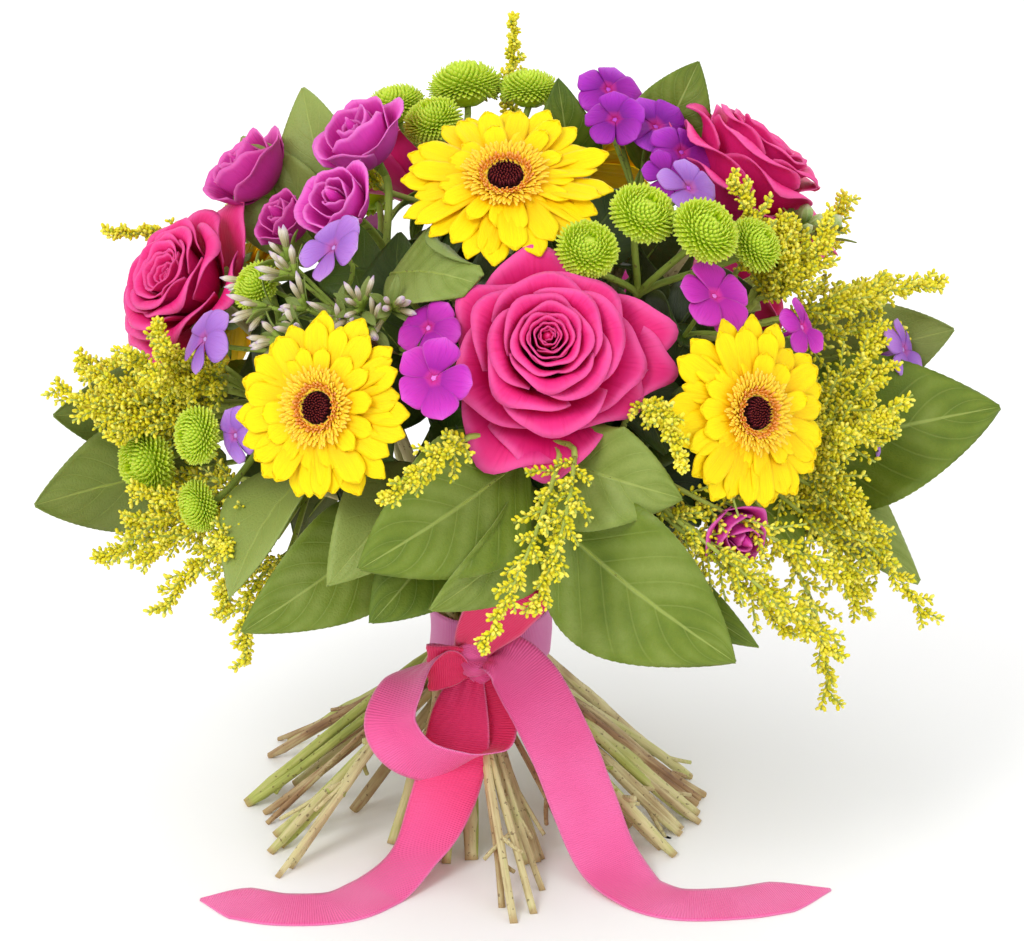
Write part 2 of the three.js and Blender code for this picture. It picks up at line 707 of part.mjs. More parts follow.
const highLoop = [
  [-8, -31, 75, 0.9, 0, -0.4, 0.45],
  [-4, -38, 85, 0.93, 0, -0.35, 0.75],
  [2, -44, 95, 0.95, 0, -0.3],
  [8, -49, 104, 0.95, 0, -0.3],
  [11, -48, 109, 0.95, 0, -0.3],
  [11, -43, 108, 0.95, 0, -0.3],
  [6, -39, 98, 0.95, 0, -0.3],
  [0, -34, 88, 0.93, 0, -0.35, 0.75],
  [-4, -28.5, 78, 0.9, 0, -0.4, 0.45],
];

// The knot is a gathered lump in front of the band, which the loops and tails run out of.
function knot() {
  const rings = [[-21, 4], [-15, 8.5], [-8, 10], [-2, 8], [4, 3]].map(([x, size]) => (
    Array.from({ length: 8 }, (_, k) => {
      const angle = (Math.PI * k) / 4;
      const pleat = k % 2 ? 0.82 : 1;
      const deep = 0.72 * size * pleat * Math.cos(angle);
      return new Vector3(x, -28.8 + deep, 73 + size * pleat * Math.sin(angle));
    })));
  return loft(rings);
}

function tiedRibbon() {
  const runs = [rightTail, leftTail, lowLoop, highLoop].map((route) => ribbonAlong(route));
  return joined([band(), knot(), ...runs]);
}

// ---------------------------------------------------------------- flowers in their places
gerbera("gerbera_top", { at: [-2, 67, 1.03], facing: [-3, 56], diameter: 78, stemRing: "inner" });
gerbera("gerbera_left", { at: [-31, 20, 1.06], facing: [-27, 20], diameter: 70, roll: 8 });
gerbera("gerbera_right", { at: [41, 17, 1.05], facing: [36, 20], diameter: 72, roll: 4 });
gerbera("gerbera_back", { at: [168, 38, 1.03], facing: [168, 38], diameter: 74, stemRing: "inner" });
gerbera("gerbera_back_left", { at: [-122, 12, 1.03], facing: [-122, 16], diameter: 70 });

rose("rose_front", { at: [7, 33, 0.98], facing: [5, 30], diameter: 72, opened: true });
rose("rose_left", { at: [-88, 27, 1.1], facing: [-56, 36], diameter: 62, roll: 30 });
rose("rose_right", { at: [100, 50, 1.12], facing: [98, 54], diameter: 72, roll: 60, stemRing: "inner" });
rose("rose_back_left", { at: [-156, 47, 0.99], facing: [-156, 42], diameter: 62, stemRing: "inner" });
rose("rose_back_right", { at: [133, 12, 0.98], facing: [133, 14], diameter: 64 });

const clusters = {
  freesia_left: {
    kind: freesia,
    heads: [
      { at: [-100, 46, 1.12], facing: [-84, 46], diameter: 36, deep: 17 },
      { at: [-86, 47, 0.96], facing: [-62, 44], diameter: 22, deep: 14 },
    ],
    fork: [-96, 42, 0.72],
  },
  freesia_top: {
    kind: freesia,
    heads: [
      { at: [-86, 66, 1.06], facing: [-60, 56], diameter: 34, deep: 18 },
      { at: [-57, 56, 1.02], facing: [-40, 40], diameter: 26, deep: 16 },
    ],
    fork: [-72, 58, 0.7],
    stemRing: "inner",
  },
  freesia_low: {
    kind: freesia,
    heads: [{ at: [37, -4, 1.03], facing: [32, -6], diameter: 22, deep: 15, petals: 5 }],
    fork: [38, -6, 0.76],
    stemRing: "branch",
  },
  freesia_back: {
    kind: freesia,
    heads: [
      { at: [-178, 12, 1.05], facing: [-178, 16], diameter: 36, deep: 18 },
      { at: [166, 6, 1.04], facing: [162, 4], diameter: 28, deep: 16 },
    ],
    fork: [174, 8, 0.7],
    stemRing: "branch",
  },

  phlox_front: {
    kind: phlox,
    heads: [
      { at: [-12, 27, 1.1], facing: [-8, 22], diameter: 28 },
      { at: [-17, 37, 0.95], facing: [-24, 40], diameter: 24 },
    ],
    fork: [-14, 28, 0.74],
  },
  phlox_top: {
    kind: phlox,
    heads: [
      { at: [104, 66, 1.06], facing: [30, 52], diameter: 31, roll: 20 },
      { at: [132, 70, 1.12], facing: [10, 50], diameter: 26 },
      { at: [70, 57, 1.03], facing: [48, 48], diameter: 26 },
    ],
    fork: [100, 60, 0.74],
    stemRing: "inner",
  },
  phlox_right: {
    kind: phlox,
    heads: [
      { at: [45, 38, 1.0], facing: [34, 46], diameter: 29 },
      { at: [62, 27, 1.03], facing: [58, 30], diameter: 22 },
    ],
    fork: [50, 34, 0.76],
    stemRing: "branch",
  },
  phlox_left: {
    kind: phlox,
    heads: [
      { at: [-43, 47, 1.04], facing: [-50, 40], diameter: 28 },
      { at: [-64, 24, 1.04], facing: [-58, 26], diameter: 26 },
      { at: [-49, 11, 1.02], facing: [-50, 10], diameter: 22 },
    ],
    fork: [-54, 27, 0.74],
    stemRing: "branch",
  },
  phlox_far_right: {
    kind: phlox,
    heads: [
      { at: [86, 13, 1.17], facing: [66, 22], diameter: 24 },
      { at: [80, -4, 1.1], facing: [70, -2], diameter: 20 },
    ],
    fork: [86, 6, 0.78],
    stemRing: "branch",
  },
  phlox_back: {
    kind: phlox,
    heads: [
      { at: [-150, 20, 1.04], facing: [-150, 24], diameter: 30 },
      { at: [-160, 8, 1.03], facing: [-162, 6], diameter: 27 },
    ],
    fork: [-156, 16, 0.7],
    stemRing: "branch",
  },

  button_top: {
    kind: buttons,
    heads: [
      { at: [-129, 66, 1.08], diameter: 24 },
      { at: [-158, 71, 1.1], diameter: 29 },
      { at: [170, 73, 1.08], diameter: 24 },
      { at: [-104, 77, 1.03], diameter: 23, facing: [-60, 66] },
    ],
    fork: [-150, 66, 0.78],
    stemRing: "inner",
  },
  button_right: {
    kind: buttons,
    heads: [
      { at: [19, 51, 1.01], diameter: 23 },
      { at: [37, 55, 1.05], diameter: 25 },
      { at: [47, 48, 1.09], diameter: 26 },
      { at: [61, 43, 1.06], diameter: 22 },
    ],
    fork: [40, 46, 0.78],
  },
  button_left: {
    kind: buttons,
    heads: [
      { at: [-56, 9, 1.06], diameter: 22 },
      { at: [-78, -4, 1.08], diameter: 27, facing: [-50, 2] },
      { at: [-60, -6, 1.02], diameter: 20 },
      { at: [-64, 36, 0.98], diameter: 20 },
    ],
    fork: [-66, 6, 0.7],
    stemRing: "outer",
  },
  button_back: {
    kind: buttons,
    heads: [
      { at: [-112, 33, 1.04], diameter: 26 },
      { at: [-130, 34, 1.03], diameter: 24 },
      { at: [-150, 32, 1.02], diameter: 22 },
    ],
    fork: [-138, 26, 0.66],
    stemRing: "branch",
  },

  buds_left: {
    kind: buds,
    heads: [
      { at: [-38, 37, 1.05] },
      { at: [-30, 40, 1.06] },
      { at: [-22, 42, 1.02] },
      { at: [-58, 42, 1.08] },
      { at: [-50, 36, 1.06] },
    ],
    fork: [-40, 36, 0.78],
    stemRing: "branch",
  },
  buds_right: {
    kind: buds,
    heads: [
      { at: [88, 34, 1.22], size: 3.4, long: 14 },
      { at: [94, 32, 1.24], size: 3.4, long: 14 },
      { at: [101, 30, 1.22], size: 3.2, long: 14 },
    ],
    fork: [92, 28, 0.84],
    stemRing: "branch",
  },
};

// ---------------------------------------------------------------- leaves and sprays, by their forks
const sprigs = {
  leaves_left: {
    fork: [-86, -8, 0.6],
    leaves: [
      { base: [-84, -9, 0.84], tip: [-78, -8, 1.42], width: 44 },
      { base: [-92, 0, 0.8], tip: [-85, 2, 1.34], width: 40 },
    ],
  },
  leaves_front_left: {
    fork: [-38, -10, 0.57],
    leaves: [
      { base: [-48, 6, 0.62], tip: [-43, -14, 1.17], width: 46 },
      { base: [-28, -10, 0.62], tip: [-39, -17, 1.22], width: 40 },
      { base: [-20, 4, 0.64], tip: [-27, -9, 1.1], width: 36 },
    ],
  },
  leaves_front: {
    fork: [-4, -6, 0.5],
    leaves: [
      { base: [3, 12, 0.76], tip: [-21, -4, 1.13], width: 50 },
      { base: [-14, -8, 0.62], tip: [-22, -17, 1.06], width: 40 },
      { base: [8, -3, 0.62], tip: [-11, -10, 1.13], width: 34 },
    ],
  },
  leaves_front_right: {
    fork: [12, -6, 0.5],
    leaves: [
      { base: [7, -2, 0.74], tip: [31, -19, 1.25], width: 54 },
      { base: [8, 12, 0.7], tip: [27, 5, 1.02], width: 42 },
      { base: [22, -12, 0.62], tip: [37, -20, 1.2], width: 26 },
    ],
  },
  leaves_right_low: {
    fork: [66, -10, 0.5],
    leaves: [
      { base: [70, -9, 0.72], tip: [74, -20, 1.31], width: 44 },
      { base: [58, -10, 0.66], tip: [53, -13, 1.05], width: 36, facing: [45, 30] },
    ],
  },
  leaves_right: {
    fork: [84, -2, 0.58],
    leaves: [
      { base: [81, -9, 0.78], tip: [83, 4, 1.43], width: 58, facing: [20, 35] },
      { base: [92, 12, 0.78], tip: [88, 14, 1.33], width: 40 },
    ],
  },
  leaves_top_right: {
    fork: [116, 56, 0.62],
    stemRing: "branch",
    leaves: [
      { base: [116, 58, 0.82], tip: [116, 61, 1.3], width: 34 },
      { base: [152, 62, 0.8], tip: [150, 76, 1.13], width: 26, facing: [0, 30] },
    ],
  },
  leaves_top_left: {
    fork: [-106, 48, 0.58],
    stemRing: "branch",
    leaves: [
      { base: [-106, 52, 0.78], tip: [-113, 58, 1.25], width: 34, facing: [-30, 30] },
      { base: [-104, 42, 0.76], tip: [-108, 47, 1.22], width: 36, facing: [-30, 35] },
    ],
  },
  leaves_middle: {
    fork: [-30, 46, 0.66],
    stemRing: "branch",
    leaves: [
      { base: [-38, 50, 0.84], tip: [-5, 45, 0.98], width: 34, arch: 5 },
    ],
  },
  leaves_back_right: {
    fork: [118, -4, 0.55],
    leaves: [
      { base: [106, -6, 0.7], tip: [104, -12, 1.26], width: 46 },
      { base: [122, -2, 0.7], tip: [124, -15, 1.22], width: 46 },
    ],
  },
  leaves_back: {
    fork: [166, -6, 0.55],
    leaves: [
      { base: [154, -7, 0.66], tip: [150, -16, 1.22], width: 48 },
      { base: [178, -5, 0.68], tip: [-178, -14, 1.2], width: 48 },
    ],
  },
  leaves_back_left: {
    fork: [-138, -6, 0.62],
    leaves: [
      { base: [-146, -7, 0.68], tip: [-148, -16, 1.22], width: 48 },
      { base: [-112, -4, 0.7], tip: [-114, -13, 1.26], width: 46 },
    ],
  },
};

const goldenrods = {
  goldenrod_left: {
    fork: [-80, 8, 0.72],
    sprays: [
      { base: [-78, 6, 0.9], tip: [-80, 8, 1.32], reach: 12 },
      { base: [-74, 14, 0.88], tip: [-70, 18, 1.2], reach: 10 },
    ],
  },
  goldenrod_left_low: {
    fork: [-64, -12, 0.66],
    sprays: [
      { base: [-70, -14, 0.84], tip: [-78, -18, 1.28], reach: 12 },
      { base: [-60, -16, 0.84], tip: [-62, -22, 1.2], reach: 11 },
    ],
  },
  goldenrod_left_high: {
    fork: [-108, 26, 0.74],
    sprays: [{ base: [-110, 27, 0.94], tip: [-101, 25, 1.33], reach: 8 }],
  },
  goldenrod_top: {
    fork: [176, 56, 0.66],
    sprays: [
      { base: [180, 57, 0.94], tip: [179, 70, 1.35], reach: 8, arch: 2 },
      { base: [-118, 60, 0.84], tip: [-112, 54, 1.14], reach: 8, arch: 3 },
    ],
  },
  goldenrod_front: {
    fork: [0, 16, 0.82],
    sprays: [
      { base: [-8, 17, 0.94], tip: [-16, 9, 1.2], reach: 9 },
      { base: [8, 12, 0.92], tip: [-3, -9, 1.32], reach: 11 },
    ],
  },
  goldenrod_front_right: {
    fork: [24, 12, 0.72],
    sprays: [
      { base: [24, 22, 0.92], tip: [24, 12, 1.14], reach: 8 },
      { base: [26, 2, 0.9], tip: [44, -18, 1.32], reach: 14 },
    ],
  },
  goldenrod_right_high: {
    fork: [72, 30, 0.74],
    sprays: [
      { base: [72, 34, 0.9], tip: [74, 40, 1.2], reach: 11 },
      { base: [80, 26, 0.9], tip: [92, 20, 1.32], reach: 11 },
    ],
  },
  goldenrod_right: {
    fork: [64, 6, 0.7],
    sprays: [
      { base: [62, 8, 0.9], tip: [64, 12, 1.22], reach: 12 },
      { base: [60, -4, 0.9], tip: [70, -22, 1.36], reach: 14 },
    ],
  },
  goldenrod_back_right: {
    fork: [116, 22, 0.66],
    sprays: [
      { base: [112, 26, 0.88], tip: [112, 30, 1.24], reach: 11 },
      { base: [120, 0, 0.86], tip: [124, -6, 1.26], reach: 12 },
    ],
  },
  goldenrod_back: {
    fork: [178, -4, 0.66],
    sprays: [
      { base: [-172, 28, 0.88], tip: [-172, 30, 1.22], reach: 10 },
      { base: [-166, -6, 0.86], tip: [-162, -10, 1.26], reach: 12 },
    ],
  },
  goldenrod_back_left: {
    fork: [-106, -2, 0.72],
    sprays: [
      { base: [-104, 2, 0.88], tip: [-102, 2, 1.3], reach: 12 },
      { base: [-142, -2, 0.86], tip: [-140, -4, 1.24], reach: 11 },
    ],
  },
};

// Every fork's stem is laid out before the leaves are cut clear of the stems.
Object.entries(clusters).forEach(([name, each]) => cluster(name, each));
Object.values(clusters).forEach(({ fork, stemRing = "middle" }) => needStemTo(onDome(fork), stemRing));
Object.values(sprigs).forEach(({ fork, stemRing = "outer" }) => needStemTo(onDome(fork), stemRing));
Object.values(goldenrods).forEach(({ fork, stemRing = "branch" }) => needStemTo(onDome(fork), stemRing));

// ---------------------------------------------------------------- the stems, tied at the waist
// Everything below the table's height is cut off, so the stems stand on flat cut ends.
function underTable() {
  const corners = [[-300, -300], [300, -300], [300, 300], [-300, 300]];
  return loft([-60, 0].map((z) => corners.map(([x, y]) => new Vector3(x, y, z))));
}

// Where the stems are pressed together under the ribbon they are one mass with a waist.
function pressedWaist() {
  const { height, half } = tie;
  const { radius, flare, grooveHalf } = waistCore;
  return turned([
    [[0, height - half]],
    [[flare, height - half]],
    [[radius, height - grooveHalf]],
    [[radius, height + grooveHalf]],
    [[flare, height + half]],
    [[0, height + half]],
  ], 20);
}

const mainStems = spiralStems();
const allStems = [...mainStems, ...branchEnds.map((end) => sideBranch(end, mainStems))];
const stemSolids = allStems.map(({ path, radii }) => rod(path, radii, stem.sides));
addMesh("stem_bundle", joined([pressedWaist(), ...stemSolids]).subtract(underTable()), "stemGreen");
for (const { path, radii } of allStems) {
  path.slice(1).forEach((point, k) => {
    const thick = Array.isArray(radii) ? radii.slice(k, k + 2) : radii;
    takeRoom(roomRound(rod([path[k], point], thick, stem.sides)));
  });
}

addMesh("binding_twine", twineRing(), "twineBrown");
const bow = tiedRibbon();
addMesh("ribbon", bow, "ribbonPink");
[knot(), ...[rightTail, leftTail, lowLoop, highLoop].flatMap((route) => (
  route.slice(1).map((station, k) => ribbonAlong([route[k], station]))))]
  .forEach((piece) => takeRoom(roomRound(piece)));

Object.entries(sprigs).forEach(([name, each]) => sprig(name, each));
Object.entries(goldenrods).forEach(([name, each]) => goldenrod(name, each));

export default bouquet;
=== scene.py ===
# A hand-tied mixed bouquet: gerberas, roses, small flowers and leaves, standing on its stems.
# Shapes are worked out in millimetres round the tie's axis, and a mesh moves them to the frame.
import functools
import math

import bpy
import numpy as np
from mathutils import Matrix


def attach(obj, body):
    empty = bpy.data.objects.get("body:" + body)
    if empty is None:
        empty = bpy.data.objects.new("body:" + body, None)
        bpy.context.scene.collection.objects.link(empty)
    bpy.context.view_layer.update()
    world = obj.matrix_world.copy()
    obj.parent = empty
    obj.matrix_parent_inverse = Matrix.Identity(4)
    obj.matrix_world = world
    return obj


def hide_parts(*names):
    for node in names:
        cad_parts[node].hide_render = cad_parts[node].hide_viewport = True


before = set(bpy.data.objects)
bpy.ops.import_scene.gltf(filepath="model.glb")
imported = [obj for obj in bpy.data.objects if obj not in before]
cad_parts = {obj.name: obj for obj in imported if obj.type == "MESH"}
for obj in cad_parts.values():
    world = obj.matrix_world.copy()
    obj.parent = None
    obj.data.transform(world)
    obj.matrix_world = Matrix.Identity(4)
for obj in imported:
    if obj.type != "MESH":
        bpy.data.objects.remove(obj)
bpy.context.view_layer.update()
print("frame loaded:", len(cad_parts), "nodes")

# ---- the bunch as a whole: the same driving sizes as its solids
bunch = {
    "standsAt": (-9.5, 7.5, 0.0),
    "domeCentre": (8.0, 0.0, 160.0),
    "domeSize": (128.0, 128.0, 112.0),
    "tieHeight": 75.0,
    "metres": 0.001,
}
domeCentre = np.array(bunch["domeCentre"])
goldenTurn = math.pi * (3 - math.sqrt(5))


# ---- directions, places and curves
def unit(vectors):
    return vectors / np.maximum(np.linalg.norm(vectors, axis=-1, keepdims=True), 1e-9)


def heading(bearing, elevation):
    # Out of the bunch: the sine of the bearing to the right, minus its cosine to the back
    around, up = np.radians(bearing), np.radians(elevation)
    level = np.cos(up)
    return np.stack([level * np.sin(around), -level * np.cos(around), np.sin(up)], -1)


def onDome(place):
    bearing, elevation, reach = (*place, 1.0)[:3]
    return domeCentre + heading(bearing, elevation) * np.array(bunch["domeSize"]) * reach


def frameAt(point, facing, roll=0.0):
    # Three axes at a point: the third faces out, and the first is level before the roll
    ahead = unit(np.array(facing, float))
    level = unit(np.cross((0, 0, 1), ahead))
    turn = math.radians(roll)
    first = level * math.cos(turn) + np.cross(ahead, level) * math.sin(turn)
    return np.array(point, float), np.stack([first, np.cross(ahead, first), ahead])


def placed(points, place):
    # Own coordinates of a flower to the bunch's: the origin plus each axis times its coordinate
    origin, axes = place
    return origin + points @ axes


def hermite(start, leave, end, arrive, t):
    # The cubic with the given ends and end speeds
    t = np.asarray(t)[..., None]
    return (
        start * (2 * t**3 - 3 * t**2 + 1)
        + leave * (t**3 - 2 * t**2 + t)
        + end * (3 * t**2 - 2 * t**3)
        + arrive * (t**3 - t**2)
    )


def curve(start, leave, end, arrive, steps):
    return hermite(start, leave, end, arrive, np.linspace(0, 1, steps))


def throughPoints(stops, count):
    # A smooth curve through rows of numbers: Catmull-Rom, even in its parameter
    stops = np.array(stops, float)
    padded = np.concatenate([2 * stops[:1] - stops[1:2], stops, 2 * stops[-1:] - stops[-2:-1]])
    place = np.linspace(0, len(stops) - 1, count)
    piece = np.minimum(place.astype(int), len(stops) - 2)
    a, b, c, d = (padded[piece + k] for k in range(4))
    return hermite(b, (c - a) / 2, c, (d - b) / 2, place - piece)


def gridOf(rows, columns):
    # Along from 0 to 1 down the rows, and across from -1 to 1 over the columns
    return np.meshgrid(np.linspace(0, 1, rows), np.linspace(-1, 1, columns), indexing="ij")


def spread(values):
    # One value for each petal, ready to meet a grid of rows and columns
    return np.asarray(values, float).reshape(-1, 1, 1)


# ---- meshes
class Shape:
    # Points, faces and finishes gathered for one mesh. Each point has a lie: how far along and
    # across its petal, leaf or stem it is, and its tone, with 2 added on the back of a petal.
    def __init__(self):
        self.points, self.lies, self.faces, self.finishes = [], [], [], []
        self.total = 0

    def add(self, points, lies, faceSets, finish=0):
        # points is copies by corners by 3, and every copy has the same faces
        copies, corners = points.shape[:2]
        starts = self.total + corners * np.arange(copies)
        self.points.append(points.reshape(-1, 3))
        self.lies.append(np.broadcast_to(lies, points.shape).reshape(-1, 3))
        for faces in faceSets:
            self.faces.append((faces[None] + starts[:, None, None]).reshape(-1, faces.shape[1]))
            self.finishes.append(np.full(len(self.faces[-1]), finish))
        self.total += copies * corners

    def build(self, node, keys, slot):
        # One object that stands for the node: millimetres round the tie to metres in the frame.
        # The keys are those of its finishes, in the order of the finish numbers.
        points = (np.concatenate(self.points) + bunch["standsAt"]) * bunch["metres"]
        mesh = bpy.data.meshes.new(node + "_mesh")
        loops = np.concatenate([faces.ravel() for faces in self.faces])
        sizes = np.concatenate([np.full(len(faces), faces.shape[1]) for faces in self.faces])
        mesh.vertices.add(len(points))
        mesh.vertices.foreach_set("co", points.ravel())
        mesh.loops.add(len(loops))
        mesh.loops.foreach_set("vertex_index", loops)
        mesh.polygons.add(len(sizes))
        mesh.polygons.foreach_set("loop_start", np.cumsum(sizes) - sizes)
        mesh.polygons.foreach_set("material_index", np.concatenate(self.finishes))
        mesh.update(calc_edges=True)
        lie = mesh.attributes.new("lie", "FLOAT_VECTOR", "POINT")
        lie.data.foreach_set("vector", np.concatenate(self.lies).ravel())
        mesh.shade_smooth()
        piece = bpy.data.objects.new("fine_" + node, mesh)
        bpy.context.scene.collection.objects.link(piece)
        for key in keys:
            mesh.materials.append(finishes[key])
        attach(piece, "root")
        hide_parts(node)
        return piece


@functools.cache
def sheetFaces(rows, columns):
    # Two faces of a grid, the back turned over, and a rim of one face round both
    ids = np.arange(rows * columns).reshape(rows, columns)
    front = np.stack([ids[:-1, :-1], ids[1:, :-1], ids[1:, 1:], ids[:-1, 1:]], -1).reshape(-1, 4)
    rim = np.concatenate([ids[0, :-1], ids[:-1, -1], ids[-1, :0:-1], ids[:0:-1, 0]])
    after = np.roll(rim, -1)
    back = rows * columns
    edge = np.stack([rim, after, after + back, rim + back], -1)
    return (np.concatenate([front, front[:, ::-1] + back, edge]),)


def addSheets(shape, grids, thickness, tone=0.0, finish=0, length=1.0):
    # Thin closed sheets over grids of middle points, half the thickness to either side
    copies, rows, columns = grids.shape[:3]
    normal = unit(np.cross(np.gradient(grids, axis=1), np.gradient(grids, axis=2)))
    points = np.stack([grids + normal * thickness / 2, grids - normal * thickness / 2], 1)
    along, across = gridOf(rows, columns)
    side = np.array([0.0, 2.0]).reshape(1, 2, 1, 1)
    tones = np.broadcast_to(spread(tone)[:, None] + side, (copies, 2, rows, columns))
    lies = np.stack(np.broadcast_arrays(along * length, across, tones), -1)
    flat = (copies, 2 * rows * columns, 3)
    shape.add(points.reshape(flat), lies.reshape(flat), sheetFaces(rows, columns), finish)


@functools.cache
def tubeFaces(stations, sides):
    # A wall of rings, and a fan to a middle point at either end
    ids = np.arange(stations * sides).reshape(stations, sides)
    after = np.roll(ids, -1, axis=1)
    wall = np.stack([ids[:-1], after[:-1], after[1:], ids[1:]], -1).reshape(-1, 4)
    foot, tip = stations * sides, stations * sides + 1
    low = np.stack([after[0], ids[0], np.full(sides, foot)], -1)
    high = np.stack([ids[-1], after[-1], np.full(sides, tip)], -1)
    return wall, np.concatenate([low, high])


def addTubes(shape, paths, radii, sides=6, tone=0.0, finish=0, squash=1.0, floor=None):
    # Rings of points at a radius round each path, and the ends closed
    paths = np.asarray(paths, float)
    copies, stations = paths.shape[:2]
    ahead = unit(np.gradient(paths, axis=1))
    chord = np.abs(paths[:, -1] - paths[:, 0])
    least = np.eye(3)[np.argmin(chord, axis=-1)][:, None]
    side = unit(np.cross(ahead, least))
    over = np.cross(ahead, side)
    angle = np.linspace(0, 2 * np.pi, sides, endpoint=False)
    radii = np.broadcast_to(radii, (copies, stations))[..., None, None]
    around = side[:, :, None] * np.cos(angle)[:, None] + over[:, :, None] * np.sin(angle)[:, None] * squash
    rings = paths[:, :, None] + radii * around
    points = np.concatenate([rings.reshape(copies, -1, 3), paths[:, :1], paths[:, -1:]], 1)
    if floor is not None:
        points[..., 2] = np.maximum(points[..., 2], floor)
    along = np.repeat(np.linspace(0, 1, stations), sides)
    turn = np.tile(angle / np.pi - 1, stations)
    lies = np.stack([np.append(along, (0, 1)), np.append(turn, (0, 0)), np.zeros(len(along) + 2)], -1)
    lies = lies + np.asarray(tone, float).reshape(-1, 1, 1) * (0, 0, 1)
    shape.add(points, lies, tubeFaces(stations, sides), finish)


def addBeads(shape, centres, ways, lengths, radii, tone=0.0, finish=0, sides=5, waist=(0.5, 1.0, 0.6)):
    # Short closed tubes along their own ways, widest in the middle
    offsets = np.linspace(-0.45, 0.45, len(waist))[:, None]
    paths = centres[:, None] + ways[:, None] * offsets * np.reshape(lengths, (-1, 1, 1))
    swell = np.reshape(radii, (-1, 1)) * np.array(waist)
    addTubes(shape, paths, np.broadcast_to(swell, paths.shape[:2]), sides, tone, finish)


# ---- materials
class Wire:
    # A socket of a material's nodes, on which the plain operators add Math nodes
    def __init__(self, finish, socket):
        self.finish = finish
        self.socket = socket

    def math(self, operation, first, second=0.0):
        return self.finish.node("ShaderNodeMath", {"operation": operation}, {0: first, 1: second})

    def __add__(self, other):
        return self.math("ADD", self, other)

    def __sub__(self, other):
        return self.math("SUBTRACT", self, other)

    def __rsub__(self, other):
        return self.math("SUBTRACT", other, self)

    def __mul__(self, other):
        return self.math("MULTIPLY", self, other)

    def __gt__(self, other):
        return self.math("GREATER_THAN", self, other)

    __radd__ = __add__
    __rmul__ = __mul__

    def wave(self, turns):
        # From -1 to 1 and back, this many times for each 1 that the value grows
        return self.math("SINE", self * (2 * math.pi * turns))

    def size(self):
        return self.math("ABSOLUTE", self)

    def between(self, low, high):
        # 0 at low, 1 at high, and smooth from one to the other
        settings = {"interpolation_type": "SMOOTHSTEP"}
        return self.finish.node("ShaderNodeMapRange", settings, {0: self, 1: low, 2: high})


class Finish:
    def __init__(self, name):
        self.material = bpy.data.materials.new(name)
        self.material.use_nodes = True
        self.tree = self.material.node_tree
        self.shader = self.tree.nodes["Principled BSDF"]
        self.place = self.node("ShaderNodeTexCoord", output="Object")
        lie = self.node("ShaderNodeAttribute", {"attribute_name": "lie"}, output="Vector")
        split = self.node("ShaderNodeSeparateXYZ", inputs={0: lie}).socket.node
        self.along, self.across, self.toneAndSide = (Wire(self, out) for out in split.outputs)
        self.back = self.toneAndSide > 1.5
        self.tone = self.toneAndSide - self.back * 2.0

    def node(self, kind, settings=None, inputs=None, output=0):
        # A node of one type: its settings first, then the values or links of its sockets
        made = self.tree.nodes.new(kind)
        for key, value in (settings or {}).items():
            if key == "stops":
                self.setStops(made.color_ramp, value)
            else:
                setattr(made, key, value)
        for key, value in (inputs or {}).items():
            if isinstance(value, Wire):
                self.tree.links.new(value.socket, made.inputs[key])
            else:
                made.inputs[key].default_value = value
        return Wire(self, made.outputs[output])

    def setStops(self, ramp, stops):
        while len(ramp.elements) < len(stops):
            ramp.elements.new(0.5)
        for element, (place, colour) in zip(ramp.elements, stops):
            element.position = place
            element.color = paint(colour)

    def ramp(self, value, *stops):
        return self.node("ShaderNodeValToRGB", {"stops": stops}, {0: value})

    def mixed(self, share, first, second, blend="MIX"):
        settings = {"data_type": "RGBA", "blend_type": blend}
        return self.node("ShaderNodeMix", settings, {0: share, 6: first, 7: second}, 2)

    def noise(self, scale, detail=3.0, rough=0.5, where=None):
        sockets = {"Vector": where or self.place, "Scale": scale, "Detail": detail, "Roughness": rough}
        return self.node("ShaderNodeTexNoise", inputs=sockets)

    def stretched(self, across, along, tone):
        # A place on the piece itself: so many units across it and along it, and its own by tone
        inputs = {0: self.across * across, 1: self.along * along, 2: self.tone * tone}
        return self.node("ShaderNodeCombineXYZ", inputs=inputs)

    def bump(self, height, strength, distance):
        sockets = {"Strength": strength, "Distance": distance, "Height": height}
        self.tree.links.new(self.node("ShaderNodeBump", inputs=sockets).socket, self.shader.inputs["Normal"])

    def done(self, colour, roughness, **constants):
        self.tree.links.new(colour.socket, self.shader.inputs["Base Color"])
        if isinstance(roughness, Wire):
            self.tree.links.new(roughness.socket, self.shader.inputs["Roughness"])
        else:
            self.shader.inputs["Roughness"].default_value = roughness
        for name, value in constants.items():
            self.shader.inputs[name.replace("_", " ")].default_value = value
        return self.material


def paint(code):
    # A colour written as on the web, made linear by its 2.4 power curve
    parts = [int(code[k : k + 2], 16) / 255 for k in (1, 3, 5)]
    linear = [((part + 0.055) / 1.055) ** 2.4 if part > 0.04 else part / 12.92 for part in parts]
    return (*linear, 1.0)


softGlow = {"Subsurface_Weight": 0.12, "Subsurface_Scale": 0.002, "Specular_IOR_Level": 0.18}


